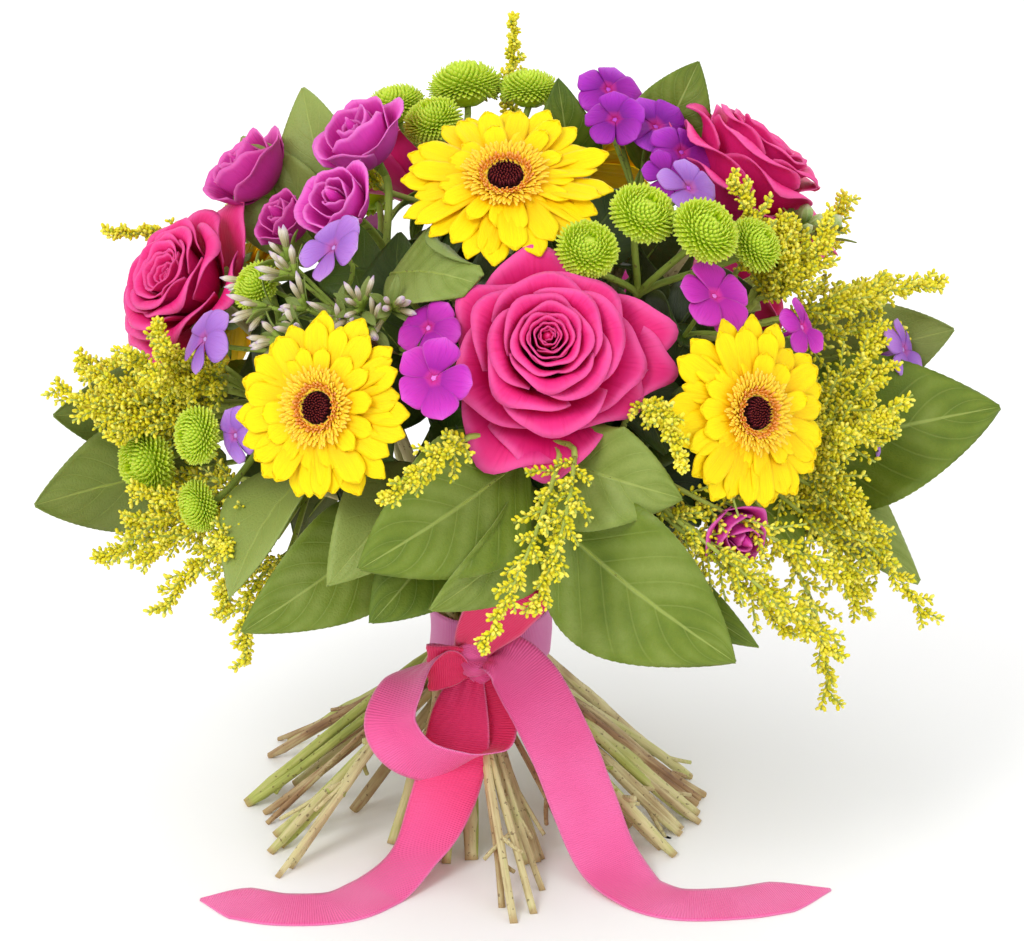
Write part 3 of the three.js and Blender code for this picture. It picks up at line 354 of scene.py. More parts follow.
def petalFinish(name, stops, backColour, streaks, streakColour, rimColour=None, roughness=0.55):
    # Colour runs along the petal, with fine streaks down it, a paler back and a lighter rim
    finish = Finish(name)
    base = finish.ramp(finish.along, *stops)
    grain = finish.noise(260.0, 2.0)
    fibres = finish.noise(1.0, 2.0, where=finish.stretched(streaks, 3.0, 9.0))
    veins = fibres.between(0.45, 0.75)
    colour = finish.mixed(veins * 0.35, base, paint(streakColour))
    colour = finish.mixed(finish.back * 0.6, colour, paint(backColour))
    if rimColour:
        rim = finish.along.between(0.88, 1.0) * 1.3 + finish.across.size().between(0.85, 1.0) * 0.4
        colour = finish.mixed(rim * 0.5, colour, paint(rimColour))
    shade = finish.tone * 0.25 + finish.noise(35.0).between(0.3, 0.8) * 0.12
    colour = finish.mixed(shade, colour, paint(stops[0][1]))
    finish.bump(fibres + grain * 0.4, 0.35, 0.0006)
    return finish.done(colour, roughness, **softGlow)


# Each has its stops along the petal, its back, how many streaks and their colour, then where it
# differs the rim's colour and the roughness
petalLooks = {
    "gerbera": (
        "gerbera petal", ((0.0, "#F4A600"), (0.3, "#FCCA00"), (0.55, "#FFE000"), (1.0, "#FFEA00")),
        "#EEC200", 14.0, "#F2BE00"),
    "fringe": (
        "gerbera fringe", ((0.0, "#FABC10"), (0.5, "#FFCE2C"), (0.85, "#FFDA40"), (1.0, "#FFE468")),
        "#F6B020", 4.0, "#FFC440"),
    "innerFringe": (
        "inner fringe", ((0.0, "#F09420"), (0.5, "#F8A038"), (0.8, "#FCA858"), (1.0, "#FFBC84")),
        "#E88A30", 4.0, "#F8B080"),
    "disc": (
        "gerbera disc", ((0.0, "#1E0308"), (0.6, "#3E0714"), (0.9, "#5A1020"), (1.0, "#8A3426")),
        "#2E0610", 3.0, "#5E1420", None, 0.75),
    # The rose's stops darken to crimson at the petal's foot: partly its own colour, partly painted shade deep
    # in the bloom
    "rose": (
        "rose petal", ((0.0, "#8A0030"), (0.35, "#C40048"), (0.7, "#E4146E"), (1.0, "#F03A90")),
        "#DE2C86", 22.0, "#C80856", "#F466AC", 0.5),
    "freesia": (
        "freesia petal", ((0.0, "#A00C6C"), (0.4, "#CA1C96"), (0.75, "#E03AB6"), (1.0, "#EE62CA")),
        "#DC50C0", 18.0, "#B01484", "#F08AD8"),
    "deepFreesia": (
        "deep freesia petal", ((0.0, "#8C0A5A"), (0.4, "#B61680"), (0.75, "#D02E9C"), (1.0, "#E454B6")),
        "#CC3EA0", 18.0, "#A01074", "#EC78C4"),
    "violet": (
        "violet phlox petal", ((0.0, "#E23C98"), (0.12, "#961494"), (0.5, "#BE2EB4"), (1.0, "#DC60D6")),
        "#D080D0", 12.0, "#8C1890", "#E68AE0"),
    "deepViolet": (
        "deep violet petal", ((0.0, "#D02C84"), (0.14, "#74128C"), (0.5, "#A028B8"), (1.0, "#BE4ED4")),
        "#AC5CC8", 12.0, "#6E1490"),
    "paleViolet": (
        "pale violet petal", ((0.0, "#C05AA0"), (0.14, "#8A58B4"), (0.5, "#A878D2"), (1.0, "#C29AE2")),
        "#CDB4E6", 12.0, "#8250B0"),
    "button": (
        "button floret", ((0.0, "#A4C80C"), (0.35, "#C6E022"), (0.75, "#DEEE40"), (1.0, "#ECF870")),
        "#C4E44C", 3.0, "#BCDC28"),
}
finishes = {key: petalFinish(*look) for key, look in petalLooks.items()}


def leafFinish(name, deep, middle, pale, rib):
    # A pale midrib, side veins that leave it at a slant as far apart as the blade's quilting, a
    # finer net between, and a greyer back
    finish = Finish(name)
    side = finish.across.size()
    slant = (finish.along * 7.0 - side * 2.2).wave(1.0)
    veins = slant.between(0.95, 1.0) * (1.0 - side.between(0.7, 1.0))
    midrib = 1.0 - side.between(0.012, 0.045)
    net = finish.noise(900.0, 2.0)
    cells = finish.node("ShaderNodeTexVoronoi", {"feature": "DISTANCE_TO_EDGE"},
                        {"Vector": finish.place, "Scale": 700.0})
    patches = finish.noise(38.0, 5.0, 0.6)
    shade = patches * 0.8 + finish.tone * 0.7 - 0.12 - slant * 0.06
    colour = finish.ramp(shade, (0.2, deep), (0.5, middle), (0.85, pale))
    colour = finish.mixed(finish.back * 0.5, colour, paint("#7E8C50"))
    colour = finish.mixed((cells > 0.05) * 0.08, colour, paint(deep))
    colour = finish.mixed(veins * 0.16, colour, paint(rib))
    colour = finish.mixed(midrib * 0.55, colour, paint(rib))
    height = cells.between(0.0, 0.3) * 0.3 + net * 0.2 - veins * 0.9 - midrib * 1.6
    finish.bump(height, 0.35, 0.0005)
    glow = {"Subsurface_Weight": 0.05, "Subsurface_Scale": 0.002, "Specular_IOR_Level": 0.3}
    return finish.done(colour, 0.42 + net * 0.12, **glow)


def woodyFinish(name, *stops):
    # Lengthwise streaks, brown specks and lenticels, and a dark tan cut at the foot
    finish = Finish(name)
    fibres = finish.noise(1.0, 4.0, where=finish.stretched(5.0, 14.0, 40.0))
    patches = finish.noise(55.0, 3.0)
    specks = finish.noise(620.0, 1.0).between(0.66, 0.72)
    colour = finish.ramp(patches * 0.4 + finish.tone * 0.45 + fibres * 0.35, *stops)
    colour = finish.mixed(specks * 0.65, colour, paint("#5E4128"))
    cut = 1.0 - finish.along.between(0.0, 0.012)
    colour = finish.mixed(cut * 0.8, colour, paint("#B99A68"))
    finish.bump(fibres + specks * 0.6, 0.5, 0.0009)
    return finish.done(colour, 0.55 + patches * 0.2)


def beadFinish(name, *stops):
    # Each bead has its own tone between green bud and open yellow
    finish = Finish(name)
    grain = finish.noise(700.0, 2.0)
    colour = finish.ramp(finish.tone + grain * 0.2, *stops)
    finish.bump(grain, 0.5, 0.0006)
    return finish.done(colour, 0.7, Subsurface_Weight=0.1, Subsurface_Scale=0.001)


def budFinish(name, *stops):
    # Colour runs from the calyx to the tip, with fine lines along the bud
    finish = Finish(name)
    lines = finish.across.wave(4.0)
    grain = finish.noise(500.0, 2.0)
    colour = finish.ramp(finish.along + finish.tone * 0.2 + grain * 0.1 - 0.1, *stops)
    colour = finish.mixed(lines.between(0.2, 1.0) * 0.3, colour, paint("#D4DCAC"))
    finish.bump(lines * 0.5 + grain, 0.4, 0.0004)
    return finish.done(colour, 0.6, Subsurface_Weight=0.08, Subsurface_Scale=0.001)


finishes |= {
    "leaf": leafFinish("leaf", "#47600C", "#6A7E22", "#8C9C4C", "#A6B45E"),
    # The darker copy of the leaf: its colours are painted shade for the leaves deep in the bunch
    "shadeLeaf": leafFinish("leaf with painted shade", "#16280A", "#2E4410", "#465C1A", "#647A30"),
    "stem": woodyFinish(
        "stem", (0.2, "#76862E"), (0.4, "#AEB458"), (0.6, "#D8CC98"), (0.8, "#9C7850"), (0.95, "#664230")),
    "stalk": woodyFinish("green stalk", (0.2, "#647F20"), (0.5, "#88A034"), (0.9, "#A8B450")),
    "goldenrod": beadFinish(
        "goldenrod bead", (0.0, "#A8BA20"), (0.3, "#CCCE18"), (0.7, "#EEDF16"), (1.0, "#F8EE60")),
    "plumeStalk": woodyFinish("plume stalk", (0.2, "#8CA63A"), (0.5, "#AABA4E"), (0.9, "#C4CA6C")),
    "bud": budFinish(
        "bud", (0.0, "#5E6E2A"), (0.32, "#86843E"), (0.56, "#AEA074"), (0.8, "#DCD0C4"), (1.0, "#AE86D0")),
    "greenBud": budFinish(
        "green bud", (0.0, "#4E7424"), (0.5, "#7C9E42"), (0.85, "#A8BC74"), (1.0, "#D8D0C0")),
}


def ribbonFinish():
    # Grosgrain: fine ribs straight across, one each 0.8 mm, and a woven edge along both sides. Its back is
    #     # painted crimson as shade, and so is the start of a run whose tone is below 0; the troughs between
    #     the
    #     # ribs are painted darker as shade.
    finish = Finish("grosgrain ribbon")
    rib = finish.along.wave(1 / 0.8)
    weave = finish.noise(1500.0, 1.0)
    edge = finish.across.size().between(0.93, 0.97)
    shade = finish.noise(22.0, 2.0)
    colour = finish.ramp(shade, (0.3, "#F8549C"), (0.7, "#FF76B8"))
    colour = finish.mixed(finish.tone, colour, paint("#DE7CBC"))
    # Painted shade: the back faces take crimson, as seen inside the loops
    colour = finish.mixed(finish.back * 0.85, colour, paint("#EC1452"))
    # Painted shade: the first 30 to 85 mm of a run whose tone is below -0.2 turn crimson, as the left tail
    # does under the loop
    paintedShadeStart = ((0.0 - finish.tone) > 0.2) * (1.0 - finish.along.between(30.0, 85.0))
    colour = finish.mixed(paintedShadeStart * 0.7, colour, paint("#F01E5C"))
    # Painted shade: the troughs between the ribs are darkened
    colour = finish.mixed((1.0 - rib.between(-1.0, 0.2)) * 0.18, colour, paint("#DC3A82"))
    colour = finish.mixed(edge * 0.3, colour, paint("#FF9CCC"))
    finish.bump(rib * 0.5 + weave * 0.4, 0.5, 0.0005)
    return finish.done(colour, 0.5, Sheen_Weight=0.25, Sheen_Roughness=0.4, Specular_IOR_Level=0.35)


def twineFinish():
    # Strands wind round the cord at a slant
    finish = Finish("binding twine")
    strand = (finish.along * 90.0 + finish.across * 1.5).wave(1.0)
    fuzz = finish.noise(900.0, 4.0)
    shade = strand * 0.35 + fuzz * 0.6 + 0.2
    colour = finish.ramp(shade, (0.2, "#5C452A"), (0.6, "#97794F"), (1.0, "#C2A878"))
    finish.bump(strand + fuzz, 0.7, 0.001)
    return finish.done(colour, 0.85)


finishes |= {"ribbon": ribbonFinish(), "twine": twineFinish()}
print("finishes ready:", len(finishes))

# ---- what the stems have to reach, and the room of the blooms that leaves bend round
stemsWanted = []
branchEnds = []
keepOut = []
joint = {"gap": 0.35, "pull": 0.55, "forkGap": 2.4, "forkPull": 0.6, "forkRadius": 2.8}


def needStem(place, depth, ring, radius):
    end = placed(np.array([0, 0, -depth - joint["gap"]]), place)
    wanted = {"end": end, "aim": place[1][2], "ring": ring, "radius": radius, "pull": joint["pull"]}
    stemsWanted.append(wanted)


def needStemTo(fork, ring):
    root = onDome(fork)
    aim = unit(root - np.array([0, 0, bunch["tieHeight"]]))
    end = root - aim * joint["forkGap"]
    if ring == "branch":
        branchEnds.append(end)
        return
    wanted = {"end": end, "aim": aim, "ring": ring, "radius": joint["forkRadius"], "pull": joint["forkPull"]}
    stemsWanted.append(wanted)


def bentClear(points):
    # A point inside a bloom's flat ellipsoid moves straight out from its middle to its skin
    for centre, axis, radius, depth in keepOut:
        off = points - centre
        along = off @ axis
        across = np.linalg.norm(off - along[..., None] * axis, axis=-1)
        share = np.hypot(across / radius, along / depth)
        grow = np.where(share < 1, 1 / np.maximum(share, 0.3), 1.0)
        points = centre + off * grow[..., None]
    return points


# ---- petals
def turned(out, aside, high, turns):
    # Places so far out from the flower's axis and so far aside of that, turned about the axis
    return np.stack([
        out * np.cos(turns) - aside * np.sin(turns),
        out * np.sin(turns) + aside * np.cos(turns),
        np.broadcast_to(high, aside.shape),
    ], -1)


def rayPetals(turns, start, reach, breadth, form, rows, columns):
    # Petals that run out from the axis. Half the breadth follows a rounded strap, and the height
    # is a rise that sags to the tip, with grooves down the petal.
    s, t = gridOf(rows, columns)
    s = np.sin(np.pi / 2 * s)
    strap = form["waist"] + (1 - form["waist"]) * np.sin(np.pi / 2 * np.minimum(s / form["widest"], 1))
    tip = np.maximum((s - form["round"]) / (1.002 - form["round"]), 0)
    strap = strap * np.sqrt(np.maximum(1 - tip**2, 0.004))
    notch = form["notch"] * np.exp(-((t / 0.22) ** 2)) + 0.05 * t**2
    out = start + (spread(reach) * (1 - notch * s) - start) * s
    aside = spread(breadth) * strap * t
    high = form["lift"] + form["rise"] * np.sin(np.pi * s**0.7) - spread(form["sag"]) * s**2.2
    high = high + form["groove"] * np.cos(3 * np.pi * t) * np.sin(np.pi * s) + form["cup"] * t**2 * s
    high = high + spread(form["twist"]) * aside
    return turned(out, aside, high, spread(turns))


def runBetween(curves, first, last):
    # Each curve moved and scaled to run from its first value to its last
    size = np.ptp(curves, 1)[:, None]
    return first[:, None] + (last - first)[:, None] * (curves - curves[:, :1]) / size


def cupPetals(form, places, radius, deep, turns, rng, rows=15, columns=13):
    # The wall of a petal slants from the flower's axis: 75 degrees at the foot, its own lean
    # higher up, and its curl more at the lip. Its path adds up the slant's sine and cosine, and is
    # stretched to end at the petal's rim and lip. The lip falls to both sides of a small point.
    # Lips and waves are given for a flower of 72 mm, and grow with the radius.
    count, size = len(places), radius / 36
    keys = ("rim", "lip", "foot", "span", "lean", "curl", "point")
    rim, lip, foot, span, lean, curl, point = (np.interp(places, form["place"], form[key]) for key in keys)
    rim = rim * radius * rng.uniform(0.96, 1.04, count)
    lip = lip * size + rng.normal(0, 0.5, count)
    span, lean, curl = (np.radians(value * rng.uniform(0.92, 1.08, count)) for value in (span, lean, curl))
    fine = np.linspace(0, 1, 80)
    slant = 1.3 * (1 - fine) ** 2.5 + lean[:, None] * fine
    slant = slant + curl[:, None] * np.clip((fine - 0.68) / 0.32, 0, 1) ** 1.5
    out, high = np.cumsum(np.sin(slant), 1), np.cumsum(np.cos(slant), 1)
    out = runBetween(out, np.minimum(3.0, rim * 0.6), rim)
    high = runBetween(high, foot * deep, lip)
    s, t = gridOf(rows, columns)
    drop = form["drop"] * np.abs(t) ** 2.6
    peak = spread(point) * (1 - np.exp(-((t / 0.26) ** 2)))
    index = s * (1 - drop - peak) * (len(fine) - 1)
    low = np.minimum(index.astype(int), len(fine) - 2)
    share = index - low
    out, high = (
        np.stack([curve[k, low[k]] * (1 - share[k]) + curve[k, low[k] + 1] * share[k] for k in range(count)])
        for curve in (out, high))
    widening = 0.45 + 0.55 * np.sin(np.pi / 2 * np.minimum(s / 0.75, 1))
    angle = spread(turns) + spread(span) / 2 * widening * t
    phase = spread(rng.uniform(0, 6, count))
    wave = form["ruffle"] * s**3 * size * (0.25 + 0.75 * spread(places))
    flare = form["edge"] * spread(places) * np.abs(t) ** 3 * s**2
    out = out * (1 + 0.06 * t) + wave * np.cos(angle * 6 + phase) + flare
    high = high + wave * 1.3 * np.sin(angle * 7 + phase)
    return np.stack([out * np.cos(angle), out * np.sin(angle), high], -1)


def addLathe(shape, profile, place, sides=20, tone=0.0, finish=0):
    # A profile of radius and height turned round the flower's axis
    stops = throughPoints(profile, 3 * len(profile))
    path = np.zeros((1, len(stops), 3))
    path[0, :, 2] = np.linspace(stops[0, 1], stops[-1, 1], len(stops))
    mesh = Shape()
    addTubes(mesh, path, np.maximum(stops[:, 0], 0.05), sides, tone)
    points = mesh.points[0].copy()
    points[:-2, 2] = np.repeat(stops[:, 1], sides)
    shape.add(placed(points, place)[None], mesh.lies[0][None], tubeFaces(len(stops), sides), finish)


# ---- gerberas
gerberaForm = {
    # layers of petals: how many, share of the radius, height, half breadth, turned by a share
    "layers": ((16, 1.01, -2.6, 4.7, 0.0), (16, 0.95, -1.2, 4.6, 0.5), (14, 0.66, 0.2, 3.8, 0.2)),
    "petalThickness": 0.45,
    "petalStart": 4.0,
    "calyx": ((3.2, -7.0), (6.0, -6.2), (9.5, -4.4), (11.0, -3.0), (9.0, -2.6)),
    "fringe": 300,
    "fringeThickness": 0.28,
    "peachShare": 0.3,
    "fringeInner": 0.175,
    "fringeOuter": 0.29,
    "discFlorets": 90,
    "floretRadius": 0.36,
    "discRadius": 0.16,
    "room": (1.5, 7.0),
}
rayForm = {
    "waist": 0.42, "widest": 0.7, "round": 0.8, "notch": 0.02,
    "lift": 0.4, "rise": 1.3, "groove": 0.3, "cup": 0.5,
}


def fringeStraps(radius, rng):
    # Narrow straps round the eye: they lean in over it nearby, and lie out further from it
    count = gerberaForm["fringe"]
    share = (np.arange(count) + 0.5) / count
    inner, outer = (radius * gerberaForm[key] for key in ("fringeInner", "fringeOuter"))
    start = spread(inner + (outer - inner) * share**0.8)
    lean = spread(-0.35 + 1.75 * share**0.55 + rng.normal(0, 0.12, count))
    long = spread((2.5 + 2.4 * share) * rng.uniform(0.8, 1.15, count))
    s, t = gridOf(5, 3)
    out = start + long * np.sin(lean) * s
    high = 1.6 + 1.2 * spread(share) + long * np.cos(lean) * 0.8 * np.sin(np.pi / 2 * s)
    aside = spread(0.4 + 0.3 * share) * (1 - 0.7 * s**5) * t
    angle = spread(np.arange(count) * goldenTurn) + spread(rng.normal(0, 0.04, count)) * s
    return turned(out, aside, high, angle)


def gerbera(name, at, facing, diameter, roll=0.0):
    # Layers of petals on a calyx, then the eye. It has no stem of its own in the bundle.
    rng = np.random.default_rng(len(name) * 31 + int(diameter))
    radius = diameter / 2
    place = frameAt(onDome(at), heading(*facing), roll)
    petals = Shape()
    for count, reach, lift, breadth, shift in gerberaForm["layers"]:
        turns = (np.arange(count) + shift + rng.normal(0, 0.13, count)) * 2 * np.pi / count
        form = dict(rayForm, lift=lift, sag=rng.normal(0.3, 1.3, count), twist=rng.normal(0, 0.16, count))
        reaches = radius * reach * rng.uniform(0.88, 1.0, count)
        breadths = breadth * rng.uniform(0.88, 1.1, count)
        grids = rayPetals(turns, gerberaForm["petalStart"], reaches, breadths, form, 16, 9)
        addSheets(petals, placed(grids, place), gerberaForm["petalThickness"], rng.uniform(0, 0.6, count))
    addLathe(petals, gerberaForm["calyx"], place, 24, 0.3, 1)
    petals.build(name + "_petals", ("gerbera", "stalk"), "gerbera_petal")

    disc = Shape()
    straps = placed(fringeStraps(radius, rng), place)
    peach = int(len(straps) * gerberaForm["peachShare"])
    for some, finish in ((straps[peach:], 0), (straps[:peach], 2)):
        addSheets(disc, some, gerberaForm["fringeThickness"], rng.uniform(0, 0.6, len(some)), finish)
    count = gerberaForm["discFlorets"]
    share = np.sqrt((np.arange(count) + 0.5) / count)
    turn = np.arange(count) * goldenTurn
    eye = radius * gerberaForm["discRadius"]
    level = np.zeros(count)
    foot = turned(eye * share, level, 1.4 + 1.0 * share**2, turn)
    way = unit(turned(-0.3 * share, level, 1.0, turn))
    long = rng.uniform(2.0, 3.4, count)
    addBeads(disc, placed(foot + way * 1.2, place), way @ place[1], long, gerberaForm["floretRadius"],
             rng.uniform(0, 0.4, count), 1, waist=(0.9, 1.0, 1.2, 0.5))
    bed = ((13.0, 0.6), (12.6, 1.2), (1.9 * eye, 1.9), (1.15 * eye, 2.3), (1.02 * eye, 1.8))
    addLathe(disc, bed, place, 24, 0.4)
    plug = ((1.1 * eye, 1.0), (1.08 * eye, 1.8), (0.7 * eye, 2.0), (0.2, 1.9))
    addLathe(disc, plug, place, 24, 0.2, 1)
    disc.build(name + "_disc", ("fringe", "disc", "innerFringe"), "gerbera_disc")
    beside, deep = gerberaForm["room"]
    keepOut.append((onDome(at), place[1][2], radius + beside, deep))


gerbera("gerbera_top", (-2, 67, 1.03), (-3, 56), 78)
gerbera("gerbera_left", (-31, 20, 1.06), (-27, 20), 70, roll=8)
gerbera("gerbera_right", (41, 17, 1.05), (36, 20), 72, roll=4)
gerbera("gerbera_back", (168, 38, 1.03), (168, 38), 74)
gerbera("gerbera_back_left", (-122, 12, 1.03), (-122, 16), 70)
print("gerberas made")

# ---- roses
roseForm = {
    "petals": 27,
    "sepals": 5,
    "thickness": 0.5,
    "depth": 0.38,
    "stemRadius": 3.2,
    "room": (2.0, 22.0),
    "sepal": (22.0, 4.0),
    "nub": ((2.6, -8.0), (2.2, -2.0), (1.6, 1.0), (0.2, 2.4)),
    # from the heart to the outermost petals: lips in mm, feet as shares of the depth, degrees
    "place": (0.0, 0.2, 0.4, 0.6, 0.8, 1.0),
    "rim": (0.05, 0.17, 0.31, 0.54, 0.77, 0.97),
    "lip": (3.0, 6.0, 9.5, 8.0, 3.0, -6.0),
    "foot": (-0.1, -0.3, -0.5, -0.65, -0.8, -0.92),
    "span": (280, 215, 170, 140, 118, 98),
    "lean": (2, 3, 6, 16, 32, 50),
    "curl": (5, 25, 80, 125, 125, 95),
    "point": (0, 0, 0.02, 0.04, 0.08, 0.12),
    "strayPoint": (0, 0, 0, 0, 0.13, 0.13),
    "drop": 0.2,
    "ruffle": 0.7,
    "edge": 2.5,
}
sepalForm = rayForm | {
    "widest": 0.3, "round": 0.3, "notch": -0.1, "rise": 3.0,
    "sag": np.full(roseForm["sepals"], 7.0), "twist": np.zeros(roseForm["sepals"]),
}


def rose(name, at, facing, diameter, ring="middle", roll=0.0, heart=(0, 0), stray=(), grown=1.0):
    # The heart is off the middle by so many mm to the right and up. Stray petals hang out
    # further than the rest: each is an angle, a share of the radius and one of the usual breadth.
    rng = np.random.default_rng(int(diameter * 7 + at[0] + 400))
    radius, deep = diameter / 2 * grown, diameter * roseForm["depth"]
    place = frameAt(onDome(at), heading(*facing), roll)
    shape = Shape()
    count = roseForm["petals"]
    u = np.arange(count) / (count - 1)
    turns = np.arange(count) * goldenTurn + rng.normal(0, 0.12, count)
    grids = cupPetals(roseForm, u, radius, deep, turns, rng, 15, 21)
    grids[..., :2] += np.array(heart) * (1 - u).reshape(-1, 1, 1, 1)
    addSheets(shape, placed(grids, place), roseForm["thickness"], rng.uniform(0, 0.45, count))
    middle = placed(np.array([*heart, 0.0]), place)
    addLathe(shape, np.array(roseForm["nub"]) * diameter / 72, (middle, place[1]), 10, 0.2)
    for angle, reach, breadth in stray:
        span = tuple(degrees * breadth for degrees in roseForm["span"])
        form = roseForm | {"span": span, "point": roseForm["strayPoint"]}
        grids = cupPetals(form, np.ones(1), radius * reach, deep, np.radians([angle]), rng, 17, 21)
        addSheets(shape, placed(grids - (0, 0, 3), place), roseForm["thickness"], 0.2)
    hip = ((3.2, -deep - 1.0), (6.2, -deep), (7.5, -deep + 3.5), (6.0, -deep + 6))
    addLathe(shape, hip, place, 16, 0.3, 1)
    count = roseForm["sepals"]
    turns = np.arange(count) * 2 * np.pi / count
    form = sepalForm | {"lift": 2 - deep}
    long, broad = (np.full(count, size) for size in roseForm["sepal"])
    grids = rayPetals(turns, 4.0, long, broad, form, 10, 5)
    addSheets(shape, placed(grids, place), roseForm["thickness"], 0.3, 1)
    shape.build(name, ("rose", "stalk"), "rose_petal")
    beside, room = roseForm["room"]
    keepOut.append((onDome(at), place[1][2], diameter / 2 + beside, room))
    needStem(place, deep + 1.2, ring, roseForm["stemRadius"])


rose("rose_front", (7, 33, 0.98), (5, 30), 72, heart=(0, 5), stray=(
    (10, 1.4, 0.65), (-9, 1.34, 0.6), (-32, 1.1, 0.9), (240, 1.32, 0.95), (266, 1.2, 0.9), (90, 1.14, 1),
    (140, 1.08, 0.9)))
rose("rose_left", (-88, 27, 1.1), (-56, 36), 62, roll=30, grown=1.08, stray=(
    (150, 1.2, 0.8), (250, 1.16, 0.9), (60, 1.14, 0.8), (200, 1.1, 0.9)))
rose("rose_right", (100, 50, 1.12), (98, 54), 72, "inner", 60, grown=1.14, stray=(
    (92, 1.05, 0.8), (170, 1.16, 0.9), (200, 1.16, 0.9), (236, 1.38, 1), (290, 1.2, 0.9), (330, 1.16, 0.6)))
rose("rose_back_left", (-156, 47, 0.99), (-156, 42), 62, "inner")
rose("rose_back_right", (133, 12, 0.98), (133, 14), 64)
print("roses made")


# ---- small flowers on forked stalks
def stalk(shape, root, neck, aim, radius, finish):
    far = np.linalg.norm(neck - root)
    leave = unit(root - np.array([0, 0, 90.0])) * far * 0.6
    addTubes(shape, curve(root, leave, neck, aim * far * 0.7, 10)[None], radius, 7, 0.4, finish)


def clusters(table, maker, slot, radius, usual, others):
    # Each row has its fork, its ring of stems and its heads. The maker adds one head, and gives
    # the point where its stalk meets it and the way that it faces.
    for node, (fork, ring, heads) in table.items():
        rng = np.random.default_rng(sum(map(ord, node)))
        shape = Shape()
        root = onDome(fork)
        for head in heads:
            neck, aim = maker(shape, rng, *head)
            stalk(shape, root, neck, aim, radius, 1)
        shape.build(node, (others.get(node, usual), "stalk", "paleViolet"), slot)
        needStemTo(fork, ring)


freesiaForm = {
    "petals": 10,
    "thickness": 0.4,
    "grown": 1.2,
    "roll": 20,
    "place": (0.0, 0.3, 0.6, 0.8, 1.0),
    "rim": (0.1, 0.34, 0.62, 0.86, 1.12),
    "lip": (13.0, 18.0, 16.0, 12.0, 3.0),
    "foot": (-0.5, -0.5, -0.55, -0.6, -0.6),
    "span": (200, 190, 175, 155, 130),
    "lean": (0, 1, 4, 10, 26),
    "curl": (-14, -4, 6, 24, 60),
    "point": (0, 0, 0, 0, 0),
    "drop": 0.34,
    "ruffle": 1.3,
    "edge": 1.6,
}


def freesiaBloom(shape, rng, at, facing, diameter, deep):
    place = frameAt(onDome(at), heading(*facing), freesiaForm["roll"])
    radius = diameter / 2 * freesiaForm["grown"]
    count = freesiaForm["petals"]
    u = np.arange(count) / (count - 1)
    turns = np.arange(count) * goldenTurn + rng.normal(0, 0.2, count)
    grids = cupPetals(freesiaForm, u, radius, deep, turns, rng, 13, 15)
    addSheets(shape, placed(grids, place), freesiaForm["thickness"], rng.uniform(0, 0.5, count))
    calyx = ((1.4, -deep), (2.2, -deep * 0.7), (4.5, -deep * 0.5), (3.0, -deep * 0.4))
    heart = ((2.2, -deep * 0.4), (2.4, 0.0), (1.8, deep * 0.35), (0.3, deep * 0.6))
    addLathe(shape, calyx, place, 12, 0.1, 1)
    addLathe(shape, heart, place, 10, 0.3)
    return placed(np.array([0, 0, -deep + 0.5]), place), place[1][2]


# A bloom has its place, its facing, its diameter and its depth
freesias = {
    "freesia_left": ((-96, 42, 0.72), "middle", (
        ((-100, 46, 1.12), (-84, 46), 36, 17), ((-86, 47, 0.96), (-62, 44), 22, 14))),
    "freesia_top": ((-72, 58, 0.7), "inner", (
        ((-86, 66, 1.06), (-60, 56), 34, 18), ((-57, 56, 1.02), (-40, 40), 26, 16))),
    "freesia_low": ((38, -6, 0.76), "branch", (((37, -4, 1.03), (32, -6), 22, 15),)),
    "freesia_back": ((174, 8, 0.7), "branch", (
        ((-178, 12, 1.05), (-178, 16), 36, 18), ((166, 6, 1.04), (162, 4), 28, 16))),
}
clusters(freesias, freesiaBloom, "freesia_petal", 1.5, "deepFreesia", {"freesia_top": "freesia"})

phloxForm = {
    "petals": 5, "thickness": 0.35, "waist": 0.1, "widest": 0.86, "round": 0.6, "notch": 0.0,
    "lift": 0.3, "rise": 1.2, "groove": 0.1, "tube": ((0.7, -9.0), (1.0, -5.0), (1.1, -1.0), (1.9, 0.5)),
}


def phloxFloret(shape, rng, at, facing, diameter, roll=0.0, finish=0):
    place = frameAt(onDome(at), heading(*facing), roll)
    radius, count = diameter / 2, phloxForm["petals"]
    form = dict(phloxForm, cup=rng.uniform(-1.6, 0.4))
    form |= {"sag": rng.normal(0.6, 1.6, count), "twist": rng.normal(0.12, 0.08, count)}
    turns = (np.arange(count) + rng.normal(0, 0.06, count)) * 2 * np.pi / count
    reaches = radius * rng.uniform(0.92, 1.05, count)
    grids = rayPetals(turns, 0.8, reaches, radius * rng.uniform(0.44, 0.53, count), form, 13, 11)
    addSheets(shape, placed(grids, place), form["thickness"], rng.uniform(0, 0.5, count), finish)
    addLathe(shape, form["tube"], place, 8, 0.2)
    return placed(np.array([0, 0, -8.5]), place), place[1][2]


